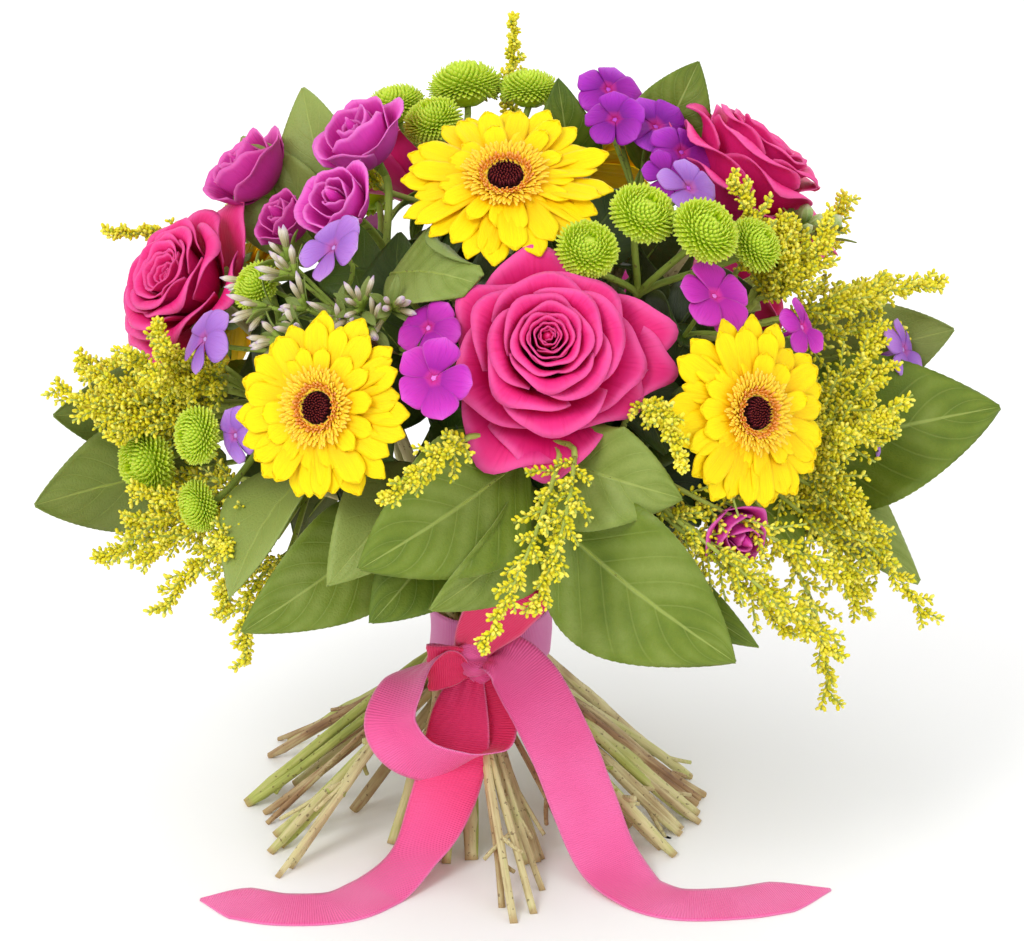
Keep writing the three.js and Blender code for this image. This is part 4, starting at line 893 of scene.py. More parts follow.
# A floret has its place, its facing and its diameter, then where it differs its roll and finish
phloxes = {
    "phlox_front": ((-14, 28, 0.74), "middle", (
        ((-12, 27, 1.1), (-8, 22), 28), ((-17, 37, 0.95), (-24, 40), 24))),
    "phlox_top": ((100, 60, 0.74), "inner", (
        ((104, 66, 1.06), (30, 52), 31, 20), ((132, 70, 1.12), (10, 50), 26),
        ((60, 57, 1.05), (34, 42), 25, 0, 2), ((102, 73, 1.05), (-14, 46), 24, 30),
        ((88, 62, 1.04), (20, 40), 25, 50), ((74, 62, 0.98), (30, 44), 22, 15))),
    "phlox_right": ((50, 34, 0.76), "branch", (
        ((45, 38, 1.0), (34, 46), 29), ((62, 27, 1.03), (58, 30), 22))),
    "phlox_left": ((-54, 27, 0.74), "branch", (
        ((-43, 47, 1.04), (-50, 40), 28), ((-64, 24, 1.04), (-58, 26), 26),
        ((-49, 11, 1.02), (-50, 10), 22))),
    "phlox_far_right": ((86, 6, 0.78), "branch", (
        ((86, 13, 1.17), (66, 22), 24), ((80, -4, 1.1), (70, -2), 20))),
    "phlox_back": ((-156, 16, 0.7), "branch", (
        ((-150, 20, 1.04), (-150, 24), 30), ((-160, 8, 1.03), (-162, 6), 27))),
}
phloxColours = {"phlox_top": "deepViolet", "phlox_left": "paleViolet", "phlox_far_right": "paleViolet"}
clusters(phloxes, phloxFloret, "phlox_petal", 0.9, "violet", phloxColours)

buttonForm = {
    "florets": 400, "thickness": 0.28, "rows": 5, "width": 0.078,
    "reachUp": 0.7, "eye": 0.02, "widestAngle": 120, "core": 0.6,
    "coreProfile": ((0.25, -0.5), (0.5, -0.36), (0.68, -0.05), (0.5, 0.3), (0.05, 0.46)),
}


def buttonHead(shape, rng, at, diameter, facing=None):
    # Spoon florets by the golden angle, incurved near the middle and leaning out at the rim
    place = frameAt(onDome(at), heading(*(facing or at[:2])))
    radius, count = diameter / 2, buttonForm["florets"]
    share = buttonForm["eye"] + (1 - buttonForm["eye"]) * (np.arange(count) + 0.5) / count
    polar = np.arccos(1 - (1 - math.cos(math.radians(buttonForm["widestAngle"]))) * share)
    s, t = gridOf(buttonForm["rows"], 3)
    tipAngle = spread(polar) * (1 - 0.4 * (1 - spread(share)) ** 2 * s**2) + 0.12 * s * spread(share)
    reach = buttonForm["core"] + (1 - buttonForm["core"]) * s
    reach = radius * reach * spread(rng.uniform(0.92, 1.03, count))
    blunt = (0.55 + 0.45 * s) * np.sqrt(1.03 - s**8)
    aside = radius * buttonForm["width"] * blunt * t * (0.6 + 0.5 * spread(share))
    high = reach * np.cos(tipAngle) * buttonForm["reachUp"] + 0.35 * np.abs(t)
    grids = turned(reach * np.sin(tipAngle), aside, high, spread(np.arange(count) * goldenTurn))
    addSheets(shape, placed(grids, place), buttonForm["thickness"], rng.uniform(0, 0.4, count))
    addLathe(shape, np.array(buttonForm["coreProfile"]) * radius, place, 14, 0.5)
    return placed(np.array([0, 0, -0.48 * radius]), place), place[1][2]


# A head has its place and its diameter, and faces out of the bunch where it isn't told otherwise
buttons = {
    "button_top": ((-150, 66, 0.78), "inner", (
        ((-129, 66, 1.08), 24), ((-158, 71, 1.1), 29), ((170, 73, 1.08), 24),
        ((-104, 77, 1.03), 23, (-60, 66)))),
    "button_right": ((40, 46, 0.78), "middle", (
        ((19, 51, 1.01), 23), ((37, 55, 1.05), 25), ((47, 48, 1.09), 26), ((61, 43, 1.06), 22))),
    "button_left": ((-66, 6, 0.7), "outer", (
        ((-56, 9, 1.06), 22), ((-78, -4, 1.08), 27, (-50, 2)), ((-60, -6, 1.02), 20), ((-64, 36, 0.98), 20))),
    "button_back": ((-138, 26, 0.66), "branch", (
        ((-112, 33, 1.04), 26), ((-130, 34, 1.03), 24), ((-150, 32, 1.02), 22))),
}
clusters(buttons, buttonHead, "button_green", 1.3, "button", {})


budForm = {
    "swell": (0.35, 0.5, 0.62, 0.8, 1.0, 0.9, 0.15), "calyxSwell": (0.5, 0.75, 0.85, 0.9),
    "calyx": 0.4, "fan": 0.62, "stalkRadius": 0.8,
    "leaflets": 4, "leafletBreadth": 2.0, "leafletThickness": 0.3,
}


def budOn(shape, foot, way, size, long):
    # A slim trumpet bud: narrow in its calyx, widest short of its tip
    path = foot + way * long * np.linspace(0, 1, len(budForm["swell"]))[:, None]
    addTubes(shape, path[None], np.array(budForm["swell"]) * size, 8)
    short = foot + way * long * budForm["calyx"] * np.linspace(-0.1, 1, len(budForm["calyxSwell"]))[:, None]
    addTubes(shape, short[None], np.array(budForm["calyxSwell"]) * size, 8, 0.3, 1)


def budBunch(shape, rng, root, tip, size, long, count):
    # Buds fan out from the end of a thin stalk, with narrow leaflets under them
    way = unit(tip - root)
    foot = tip - way * long
    climb = foot - root
    path = curve(root, climb * 0.8, foot, way * np.linalg.norm(climb) * 0.6, 9)
    addTubes(shape, path[None], budForm["stalkRadius"], 6, 0.3, 1)
    for _ in range(count):
        lean = unit(way + rng.normal(0, budForm["fan"], 3))
        budOn(shape, foot, lean, size * rng.uniform(0.75, 1.1), long * rng.uniform(0.7, 1.15))
    across = unit(np.cross(way, (0.3, 0.2, 1.0)))
    s, t = gridOf(9, 5)
    breadth = budForm["leafletBreadth"] * np.sin(np.pi * (0.04 + 0.94 * s)) * t
    bow = 1.2 * np.sin(np.pi * s) + 0.4 * t**2
    for k in range(budForm["leaflets"]):
        turn = k * goldenTurn
        out = across * math.cos(turn) + np.cross(way, across) * math.sin(turn)
        leaflet = foot - way * 2 + (unit(way * 0.7 + out) * long * 0.9) * s[..., None]
        leaflet = leaflet + np.cross(way, out) * breadth[..., None] + way * bow[..., None]
        addSheets(shape, leaflet[None, :, ::-1], budForm["leafletThickness"], rng.uniform(0.3, 0.9), 2)


# Each has its fork, the size and length of its buds, how many to a bunch, and the bunches' tips
budPlaces = {
    "buds_left": ((-40, 36, 0.78), 1.25, 14.0, 6, "bud", (
        (-38, 37, 1.05), (-30, 40, 1.06), (-22, 42, 1.02), (-58, 42, 1.08), (-50, 36, 1.06),
        (-66, 44, 1.06), (-46, 30, 1.07), (-34, 33, 1.06), (-60, 33, 1.07), (-26, 36, 1.02),
        (-72, 36, 1.04), (-52, 27, 1.05))),
    "buds_right": ((92, 28, 0.84), 2.9, 19.0, 2, "greenBud", (
        (84, 43, 1.14), (90, 41, 1.2), (98, 36, 1.22))),
}
for node, (fork, size, long, count, finish, tips) in budPlaces.items():
    rng = np.random.default_rng(5)
    shape = Shape()
    for at in tips:
        budBunch(shape, rng, onDome(fork), onDome(at), size, long, count)
    shape.build(node, (finish, "stalk", "leaf"), "bud_green")
    needStemTo(fork, "branch")
print("small flowers made")

# ---- leaves
leafForm = {
    "thickness": 0.45, "teeth": 32, "toothDepth": 0.012, "quilt": 0.28, "veinPairs": 7,
    "stalkRadius": 1.1, "ribRadii": (0.75, 0.25),
}


def leafGrid(base, tip, width, arch=8.0, facing=None, bent=True, fold=0.22, rows=97, columns=13):
    # An ovate blade: half its breadth is sin(pi s^0.8)^0.85, with small teeth. It arches between
    # its ends, is folded up from the rib, and is quilted between its veins. It looks away from
    # the bunch, or as near as it can the way that it is told to.
    start, end = onDome(base), onDome(tip)
    way = end - start
    out = heading(*facing) if facing else (start + end) / 2 - domeCentre
    out = unit(out - way * (out @ way) / (way @ way))
    side = np.cross(unit(way), out)
    s, t = gridOf(rows, columns)
    s = 0.015 + 0.985 * s
    outline = np.maximum(np.sin(np.pi * np.minimum(s, 0.9985) ** 0.8) ** 0.85, 0.02)
    tooth = leafForm["toothDepth"] * ((s * leafForm["teeth"]) % 1 - 0.5) * np.abs(t) ** 5
    aside = width / 2 * (outline + tooth * np.minimum(outline * 3, 1)) * t
    quilt = leafForm["quilt"] * np.cos(2 * np.pi * (leafForm["veinPairs"] * s - 2.2 * np.abs(t)))
    wave = 0.035 * width * np.sin(9 * s + 2.5 * t) * t**2
    rise = arch * np.sin(np.pi * s) + np.abs(aside) * fold - quilt * (1 - np.abs(t)) * outline + wave
    grid = start + way * s[..., None] + side * aside[..., None] + out * rise[..., None]
    return bentClear(grid) if bent else grid


def addLeaf(shape, root, tone, finish=0, **blade):
    grid = leafGrid(**blade)
    addSheets(shape, grid[None, :, ::-1], leafForm["thickness"], tone, finish)
    middle = grid.shape[1] // 2
    start = grid[0, middle]
    arrive = unit(grid[3, middle] - start) * np.linalg.norm(start - root) * 0.6
    path = curve(root, (start - root) * 0.5, start, arrive, 8)
    addTubes(shape, path[None], leafForm["stalkRadius"], 7, 0.5, 2)
    rib = grid[: len(grid) * 3 // 4 : 6, middle]
    addTubes(shape, rib[None], np.linspace(*leafForm["ribRadii"], len(rib)), 5, 0.8, 2)


# Each sprig has a fork, its ring of stems, and blades: base, tip and width, then where they
# differ the arch, the facing, and whether the blade bends round the blooms
sprigs = {
    "leaves_left": ((-86, -8, 0.6), "outer", (
        ((-84, -9, 0.84), (-78, -8, 1.42), 44), ((-92, 0, 0.8), (-85, 2, 1.34), 40))),
    "leaves_front_left": ((-38, -10, 0.57), "outer", (
        ((-48, 6, 0.62), (-43, -14, 1.17), 46), ((-28, -10, 0.62), (-39, -17, 1.22), 40),
        ((-20, 4, 0.64), (-27, -9, 1.1), 36))),
    "leaves_front": ((-4, -6, 0.5), "outer", (
        ((3, 12, 0.76), (-21, -4, 1.13), 50), ((-14, -8, 0.62), (-22, -17, 1.06), 40),
        ((8, -3, 0.62), (-11, -10, 1.13), 34))),
    "leaves_front_right": ((12, -6, 0.5), "outer", (
        ((7, -2, 0.74), (31, -19, 1.25), 54), ((8, 12, 0.7), (27, 5, 1.02), 42),
        ((22, -12, 0.62), (37, -20, 1.2), 26))),
    "leaves_right_low": ((66, -10, 0.5), "outer", (
        ((70, -9, 0.72), (74, -20, 1.31), 44), ((58, -10, 0.66), (53, -13, 1.05), 36, 8.0, (45, 30)))),
    "leaves_right": ((84, -2, 0.58), "outer", (
        ((81, -9, 0.78), (83, 4, 1.43), 58, 8.0, (20, 35)), ((92, 12, 0.78), (88, 14, 1.33), 40))),
    "leaves_top_right": ((116, 56, 0.62), "branch", (
        ((126, 58, 0.9), (119, 61, 1.3), 32, 5.0, (10, 20), False),
        ((152, 62, 0.8), (150, 76, 1.13), 26, 8.0, (0, 30)))),
    "leaves_top_left": ((-106, 48, 0.58), "branch", (
        ((-106, 52, 0.78), (-113, 58, 1.25), 34, 8.0, (-30, 30)),
        ((-104, 42, 0.76), (-108, 47, 1.22), 36, 8.0, (-30, 35)))),
    "leaves_middle": ((-30, 46, 0.66), "branch", (((-38, 50, 0.84), (-5, 45, 0.98), 34, 5.0),)),
    "leaves_back_right": ((118, -4, 0.55), "outer", (
        ((106, -6, 0.7), (104, -12, 1.26), 46), ((122, -2, 0.7), (124, -15, 1.22), 46))),
    "leaves_back": ((166, -6, 0.55), "outer", (
        ((154, -7, 0.66), (150, -16, 1.22), 48), ((178, -5, 0.68), (-178, -14, 1.2), 48))),
    "leaves_back_left": ((-138, -6, 0.62), "outer", (
        ((-146, -7, 0.68), (-148, -16, 1.22), 48), ((-112, -4, 0.7), (-114, -13, 1.26), 46))),
}
bladeKeys = ("base", "tip", "width", "arch", "facing", "bent")
leafShapes = {}
for node, (fork, ring, blades) in sprigs.items():
    rng = np.random.default_rng(sum(map(ord, node)))
    leafShapes[node] = Shape()
    for blade in blades:
        addLeaf(leafShapes[node], onDome(fork), rng.uniform(0, 1), **dict(zip(bladeKeys, blade)))
    needStemTo(fork, ring)

# Smaller leaves fill the shade between the blooms, each on the sprig whose fork is nearest, and take
# # the darker leaf finish, whose colour is painted shade.
undergrowth = {
    "leaves": 130, "lowest": -24.0, "highest": 74.0, "reach": (0.66, 0.86), "width": (26.0, 36.0),
    "aside": 22.0, "above": 18.0, "inward": 0.24, "rootReach": 0.5, "arch": 5.0,
}
rng = np.random.default_rng(11)
forks = {node: heading(*fork[:2]) for node, (fork, _, _) in sprigs.items()}
low, high = (math.sin(math.radians(undergrowth[key])) for key in ("lowest", "highest"))
for k in range(undergrowth["leaves"]):
    elevation = math.degrees(math.asin(low + (high - low) * ((k + 0.5) / undergrowth["leaves"])))
    bearing = math.degrees(k * goldenTurn) % 360
    lean = rng.uniform(0, 2 * np.pi)
    reach = rng.uniform(*undergrowth["reach"])
    aside = undergrowth["aside"] * math.cos(lean) / max(math.cos(math.radians(elevation)), 0.4)
    tip = (bearing + aside, elevation + undergrowth["above"] * math.sin(lean), reach)
    base = (bearing, elevation, reach - undergrowth["inward"])
    nearest = max(forks, key=lambda node: forks[node] @ heading(bearing, elevation))
    root = onDome((*sprigs[nearest][0][:2], undergrowth["rootReach"]))
    tone, width = rng.uniform(0, 1), rng.uniform(*undergrowth["width"])
    addLeaf(leafShapes[nearest], root, tone, 1, base=base, tip=tip, width=width, arch=undergrowth["arch"],
            rows=25, columns=9)
for node, shape in leafShapes.items():
    shape.build(node, ("leaf", "shadeLeaf", "stalk"), "leaf_green")
print("leaves made")

# ---- goldenrod
sprayForm = {
    "twigs": 20, "twigRadius": 0.42, "twigBend": 0.25, "stalkRadius": 1.1, "fan": (8.0, 6.0),
    "beads": 16, "beadRadius": 0.72, "beadLength": 2.3,
}


def spray(shape, rng, root, base, tip, reach=11.0, arch=8.0):
    # Twigs leave the arched stalk by the golden angle and lean to its tip, shorter towards it,
    # with beads close together all round them
    start, end = onDome(base), onDome(tip)
    way = end - start
    aside = unit(np.cross(way, unit(start - domeCentre)))
    lift = np.cross(aside, unit(way))

    def onStalk(t):
        return start + way * t[:, None] + lift * arch * np.sin(np.pi * t[:, None])

    def onTwigs(q):
        q = q[None, :, None]
        bend = unit(way) * sprayForm["twigBend"] * q**2
        return foot[:, None] + (ahead[:, None] * q + bend) * long[:, None, None]

    addTubes(shape, onStalk(np.linspace(0, 1, 14))[None], np.linspace(1.0, 0.35, 14), 6, 0.4, 1)
    climb = curve(root, start - root, start, way * 0.5, 8)
    addTubes(shape, climb[None], sprayForm["stalkRadius"], 6, 0.4, 1)
    twigs, beads = sprayForm["twigs"], sprayForm["beads"]
    place = np.linspace(0.04, 1.0, twigs)
    turn = np.arange(twigs) * goldenTurn
    foot = onStalk(place)
    lean = aside * np.cos(turn)[:, None] + lift * np.sin(turn)[:, None]
    long = reach * 1.25 * (1 - 0.62 * place) * rng.uniform(0.5, 1.25, twigs)
    ahead = unit(lean + unit(way) * (0.35 + 0.9 * place[:, None]))
    addTubes(shape, bentClear(onTwigs(np.linspace(0, 1, 6))), sprayForm["twigRadius"], 5, 0.4, 1)
    steps = (np.arange(beads) + 0.6) / beads
    first = unit(np.cross(ahead, (0.2, 0.3, 1.0)))
    second = np.cross(ahead, first)
    spin = (np.arange(beads) * goldenTurn)[None, :, None] + turn[:, None, None]
    off = first[:, None] * np.cos(spin) + second[:, None] * np.sin(spin)
    centre = onTwigs(steps) + off * rng.uniform(0.9, 1.7, (twigs, beads, 1))
    facing = unit(off + ahead[:, None] * 0.9)
    sizes = rng.uniform(0.75, 1.2, twigs * beads)
    tone = np.clip(rng.normal(0.55, 0.2, (twigs, beads)) + 0.15 * steps, 0, 1).reshape(-1)
    addBeads(shape, bentClear(centre.reshape(-1, 3)), facing.reshape(-1, 3), sprayForm["beadLength"] * sizes,
             sprayForm["beadRadius"] * sizes, tone, sides=4)


# Each has its fork, how many lesser sprays fan out beside each spray, and the sprays: base, tip,
# the reach of the lowest twigs and the arch
goldenrods = {
    "goldenrod_left": ((-80, 8, 0.72), (6, 4), (
        ((-78, 6, 0.9), (-80, 8, 1.32), 12), ((-74, 14, 0.88), (-70, 18, 1.2), 10))),
    "goldenrod_left_low": ((-64, -12, 0.66), (4, 3), (
        ((-70, -14, 0.84), (-78, -18, 1.28), 12), ((-60, -16, 0.84), (-62, -22, 1.2), 11))),
    "goldenrod_left_high": ((-108, 26, 0.74), (0,), (((-110, 27, 0.94), (-101, 25, 1.33), 8),)),
    "goldenrod_top": ((176, 56, 0.66), (0, 1), (
        ((180, 57, 0.94), (179, 70, 1.32), 6, 2), ((-118, 60, 0.84), (-112, 54, 1.14), 8, 3))),
    "goldenrod_front": ((0, 16, 0.82), (0, 1), (
        ((-8, 17, 0.94), (-16, 9, 1.2), 9), ((8, 12, 0.92), (-3, -9, 1.32), 11))),
    "goldenrod_front_right": ((24, 12, 0.72), (0, 3), (
        ((24, 22, 0.92), (24, 12, 1.14), 8), ((26, 2, 0.9), (44, -18, 1.32), 14))),
    "goldenrod_right_high": ((72, 30, 0.74), (5, 3), (
        ((72, 34, 0.9), (74, 40, 1.2), 11), ((80, 26, 0.9), (92, 20, 1.32), 11))),
    "goldenrod_right": ((64, 6, 0.7), (6, 4), (
        ((62, 8, 0.9), (64, 12, 1.22), 12), ((60, -4, 0.9), (70, -22, 1.36), 14))),
    "goldenrod_back_right": ((116, 22, 0.66), (2, 2), (
        ((112, 26, 0.88), (112, 30, 1.24), 11), ((120, 0, 0.86), (124, -6, 1.26), 12))),
    "goldenrod_back": ((178, -4, 0.66), (2, 2), (
        ((-172, 28, 0.88), (-172, 30, 1.22), 10), ((-166, -6, 0.86), (-162, -10, 1.26), 12))),
    "goldenrod_back_left": ((-106, -2, 0.72), (2, 2), (
        ((-104, 2, 0.88), (-102, 2, 1.3), 12), ((-142, -2, 0.86), (-140, -4, 1.24), 11))),
}
for node, (fork, beside, sprays) in goldenrods.items():
    rng = np.random.default_rng(sum(map(ord, node)))
    shape = Shape()
    for lesser, (base, tip, *size) in zip(beside, sprays):
        spray(shape, rng, onDome(fork), base, tip, *size)
        for _ in range(lesser):
            aside, above = rng.normal(0, 1, 2) * sprayForm["fan"]
            near = (base[0] + 0.5 * aside, base[1] + 0.5 * above, base[2])
            far = (tip[0] + aside, tip[1] + above, tip[2] * rng.uniform(0.86, 0.96))
            spray(shape, rng, onDome(fork), near, far, *size)
    shape.build(node, ("goldenrod", "plumeStalk"), "goldenrod_yellow")
    needStemTo(fork, "branch")
print("goldenrod made")

# ---- stems: a spiral of three rings that share the waist, and side branches from them. The roses,
# and the clusters and sprigs that name a ring, have one each. The five gerberas have none.
stemForm = {
    "rings": {"outer": (17.6, 100.0), "middle": (11.0, 84.0), "inner": (4.6, 60.0)},
    "slope": 0.9,
    "half": 10.0,
    "pressed": 2.3,
    "behindTail": 58.0,
    "footOnRight": 84.0,
    "tails": ((-23, 21), (34, 15)),
    "uneven": 6.0,
    "nodes": 5,
    "stubs": 18,
    "stubRadius": 1.3,
    "slim": 0.78,
    "branchRadii": (2.2, 1.6),
    "twigBearings": tuple(range(-172, 180, 13)) + (1, 7, 12, 17, -57, -66, -78, -88, 62, 70, 80, 92),
    "twigFoot": (84.0, 110.0),
    "twigRadius": (1.1, 1.9),
}


def footReach(aside, out, waist, foot):
    # A stem that would cross a tail of the ribbon stands behind the tail instead
    for bearing, half in stemForm["tails"]:
        for reach in (stemForm["behindTail"], foot):
            x, y = (aside * waist - out * reach)[:2]
            if abs(math.degrees(math.atan2(x, -y)) - bearing) < half:
                return stemForm["behindTail"]
    toTheRight = (aside * waist - out * foot)[0] > foot / 2
    return min(foot, stemForm["footOnRight"]) if toTheRight else foot


def risingAt(out, waist):
    # The further from the axis at the waist, the more a stem slants there
    return out * stemForm["slope"] * waist / stemForm["rings"]["outer"][0] + (0, 0, 1)


def stemPath(wanted, waist, foot, turn, number):
    # Straight from the foot through the waist, off its axis, then a cubic up to the flower
    out = np.array([math.cos(turn), math.sin(turn), 0])
    aside = np.array([-math.sin(turn), math.cos(turn), 0])
    middle = aside * waist + (0, 0, bunch["tieHeight"])
    rise = risingAt(out, waist)
    reach = footReach(aside, out, waist, foot) - stemForm["uneven"] * abs(math.sin(number * 2.4))
    stand = aside * waist - out * reach
    lower, upper = (middle + rise * way * stemForm["half"] for way in (-1, 1))
    far = np.linalg.norm(wanted["end"] - upper)
    low = stand + (lower - stand) * np.linspace(0, 1, 16, endpoint=False)[:, None]
    tied = lower + (upper - lower) * np.linspace(0, 1, 5, endpoint=False)[:, None]
    arrive = wanted["aim"] * far * wanted["pull"]
    climb = curve(upper, unit(rise) * far * 0.8, wanted["end"], arrive, 24)
    path = np.concatenate([low, tied, climb])
    radii = np.full(len(path), wanted["radius"])
    radii[14:22] = np.minimum(stemForm["pressed"], wanted["radius"])
    return path, radii


mainStems = []
for ring, (waist, foot) in stemForm["rings"].items():
    members = [each for each in stemsWanted if each["ring"] == ring]
    members.sort(key=lambda each: math.atan2(each["end"][1], each["end"][0]))
    pitch = 2 * math.pi / len(members)
    bearings = [math.atan2(each["end"][1], each["end"][0]) for each in members]
    drift = sum(bearing - k * pitch for k, bearing in enumerate(bearings)) / len(members)
    for k, each in enumerate(members):
        mainStems.append(stemPath(each, waist, foot, drift + k * pitch, k))

rng = np.random.default_rng(3)
stems = Shape()
for path, radii in mainStems:
    # Each stem bows a little below the tie, and swells at its nodes
    steps = np.linspace(0, 1, len(path))
    bow = unit(rng.normal(size=3)) * rng.uniform(0.5, 2.2) * (1, 1, 0.2)
    sway = np.sin(np.pi * np.minimum(steps / steps[16], 1))[:, None]
    path = path + bow * sway
    knots = rng.uniform(0.02, 0.45, stemForm["nodes"])
    swell = 1 + 0.22 * np.exp(-(((steps[:, None] - knots) / 0.02) ** 2)).sum(1)
    thick = radii * swell * stemForm["slim"] * rng.uniform(0.85, 1.1)
    addTubes(stems, path[None], thick, 12, rng.uniform(0, 1), floor=0.0)
for k, bearing in enumerate(stemForm["twigBearings"]):
    # Thin woody twigs stand between them, crooked, and most of them forked near the foot
    turn = math.radians(bearing + 90)
    waist = rng.uniform(4, 17)
    rise = risingAt(np.array([math.cos(turn), math.sin(turn), 0]), waist)
    end = np.array([-math.sin(turn) * waist, math.cos(turn) * waist, bunch["tieHeight"]]) + rise * 55
    wanted = {"end": end, "aim": unit(rise), "radius": rng.uniform(*stemForm["twigRadius"]), "pull": 0.5}
    path, radii = stemPath(wanted, waist, rng.uniform(*stemForm["twigFoot"]), turn, k)
    steps = np.linspace(0, 1, len(path))[:, None]
    crook = unit(rng.normal(size=3)) * (1, 1, 0.3)
    path = path + crook * 1.6 * np.sin(steps * rng.uniform(14, 26)) * np.clip((0.4 - steps) * 6, 0, 1)
    tone = rng.uniform(0, 1)
    addTubes(stems, path[None], radii * (1.1 - 0.25 * steps[:, 0]), 9, tone, floor=0.0)
    at = int(rng.integers(3, 9))
    side = unit(unit(path[at - 2] - path[at]) + rng.normal(0, 0.4, 3) * (1, 1, 0.5))
    reach, bow = np.linspace(0, rng.uniform(10, 26), 6)[:, None], np.linspace(0, 2, 6)[:, None] ** 2
    fork = path[at] + side * reach + crook * bow
    addTubes(stems, fork[None], np.linspace(1.0, 0.8, 6), 8, tone, floor=0.0)
for k in range(stemForm["stubs"]):
    # Cut side shoots below the tie
    path, _ = mainStems[(k * 7) % len(mainStems)]
    at = int(rng.integers(4, 12))
    way = unit(unit(path[at] - path[at + 1]) * 0.4 + unit(path[at] * (1, 1, 0)) * 0.8 + rng.normal(0, 0.3, 3))
    stub = np.linspace(path[at], path[at] + way * rng.uniform(5, 9), 4)
    addTubes(stems, stub[None], stemForm["stubRadius"], 8, rng.uniform(0, 1), floor=0.0)
firstClimb = np.array([path[33] for path, _ in mainStems])
for end in branchEnds:
    start = firstClimb[np.argmin(np.linalg.norm(firstClimb - end, axis=1))]
    rise = np.array([0, 0, 0.3 * np.linalg.norm(end - start)])
    path = curve(start, (end - start) + rise, end, (end - start) - rise, 9)
    addTubes(stems, path[None], np.linspace(*stemForm["branchRadii"], 9), 9, rng.uniform(0, 1))
stems.build("stem_bundle", ("stem",), "stem_green")
print("stems made:", len(mainStems), "main,", len(branchEnds), "branches")

# ---- twine: two turns of cord side by side
twineForm = {"radius": 21.7, "thickness": 1.8, "turns": 2, "steps": 160}
twine = Shape()
turn = np.linspace(0, 2 * np.pi, twineForm["steps"])
for k in range(twineForm["turns"]):
    rise = bunch["tieHeight"] + (k - 0.5) * twineForm["thickness"]
    circle = turned(twineForm["radius"], np.zeros(len(turn)), rise, turn)
    addTubes(twine, circle[None], twineForm["thickness"] / 2, 10)
twine.build("binding_twine", ("twine",), "twine_brown")

# ---- ribbon: each row is a point, the direction across, and the share of the full width
ribbonForm = {
    "width": 25.0, "thickness": 0.5, "bandRadius": 23.2, "bandHeight": 20.0, "pleats": 1.4,
    # The left tail's tone below 0 paints crimson shade over the start of its run
    "bandTone": 0.95, "tones": {"leftTail": -0.4}, "least": 0.4, "knotTone": 0.1,
    "knotStart": (-14.0, -31.0, 76.5), "knotRun": (16.0, -6.0), "knotSize": (0.6, 7.4),
}
ribbonRuns = {
    "rightTail": (
        (-3, -31.6, 73.4, 0.9, 0, 0.45, 0.5), (6, -37, 76, 0.9, 0, 0.45, 0.8),
        (16, -43, 66, 0.92, 0, 0.4, 1), (28, -49, 43, 0.92, 0.1, 0.38, 1),
        (36, -55, 23, 0.9, 0.25, 0.36, 1), (44, -65, 7, 0.75, 0.6, 0.3, 1),
        (56, -81, 0.4, 0.5, 0.86, 0, 1), (70, -90, 0.4, 0.15, 0.98, 0, 1),
        (92, -89, 0.4, -0.1, 1, 0, 1), (108, -84, 0.4, -0.2, 0.97, 0, 1),
        (127, -78, 0.4, -0.3, 0.95, 0, 0.06)),
    "leftTail": (
        (-8, -32, 68, 0.95, 0, 0.2, 0.45), (-11, -39, 55, 0.95, 0, 0.2, 0.85),
        (-13, -45, 41, 0.95, 0, 0.15, 1), (-18, -51, 24, 0.93, -0.1, 0.25, 1),
        (-27, -62, 8, 0.85, -0.4, 0.3, 1), (-41, -79, 0.4, 0.7, -0.7, 0, 1),
        (-55, -92, 0.4, 0.35, -0.93, 0, 1), (-76, -94, 0.4, -0.05, -1, 0, 1),
        (-92, -89, 0.4, -0.12, -0.98, 0, 1), (-107, -86, 0.4, -0.2, -0.97, 0, 0.06)),
    "lowLoop": (
        (-9, -31, 74, 0.6, -0.2, -0.2, 0.45), (-20, -36, 76, 0.7, -0.3, 0.5, 0.6),
        (-32, -45, 69, 0.74, -0.42, 0.42, 1), (-37, -52, 56, 0.74, -0.42, 0.5, 1),
        (-29, -54, 44, 0.7, -0.42, 0.58, 1), (-13, -50, 38, 0.66, -0.4, 0.64, 1),
        (-2, -42, 42, 0.7, -0.35, 0.5, 1), (-1, -36, 54, 0.85, -0.2, 0.2, 0.85),
        (-6, -31, 68, 0.9, -0.1, 0.1, 0.45)),
    "highLoop": (
        (-8, -31, 75, 0.9, 0, -0.4, 0.45), (-4, -38, 85, 0.93, 0, -0.35, 0.75),
        (2, -44, 95, 0.95, 0, -0.3, 1), (8, -49, 104, 0.95, 0, -0.3, 1),
        (11, -48, 109, 0.95, 0, -0.3, 1), (11, -43, 108, 0.95, 0, -0.3, 1),
        (6, -39, 98, 0.95, 0, -0.3, 1), (0, -34, 88, 0.93, 0, -0.35, 0.75),
        (-4, -28.5, 78, 0.9, 0, -0.4, 0.45)),
    "stub": (
        (-6, -33, 73, 0.15, 0.1, 0.98, 0.35), (-12, -37, 73.5, 0.1, 0.1, 0.99, 0.6),
        (-19, -39.5, 73.5, 0, 0, 1, 0.72), (-23, -38, 73, 0, 0, 1, 0.74),
        (-21, -35.5, 73, 0, 0, 1, 0.7), (-12, -33, 73, 0.1, 0, 1, 0.5)),
}


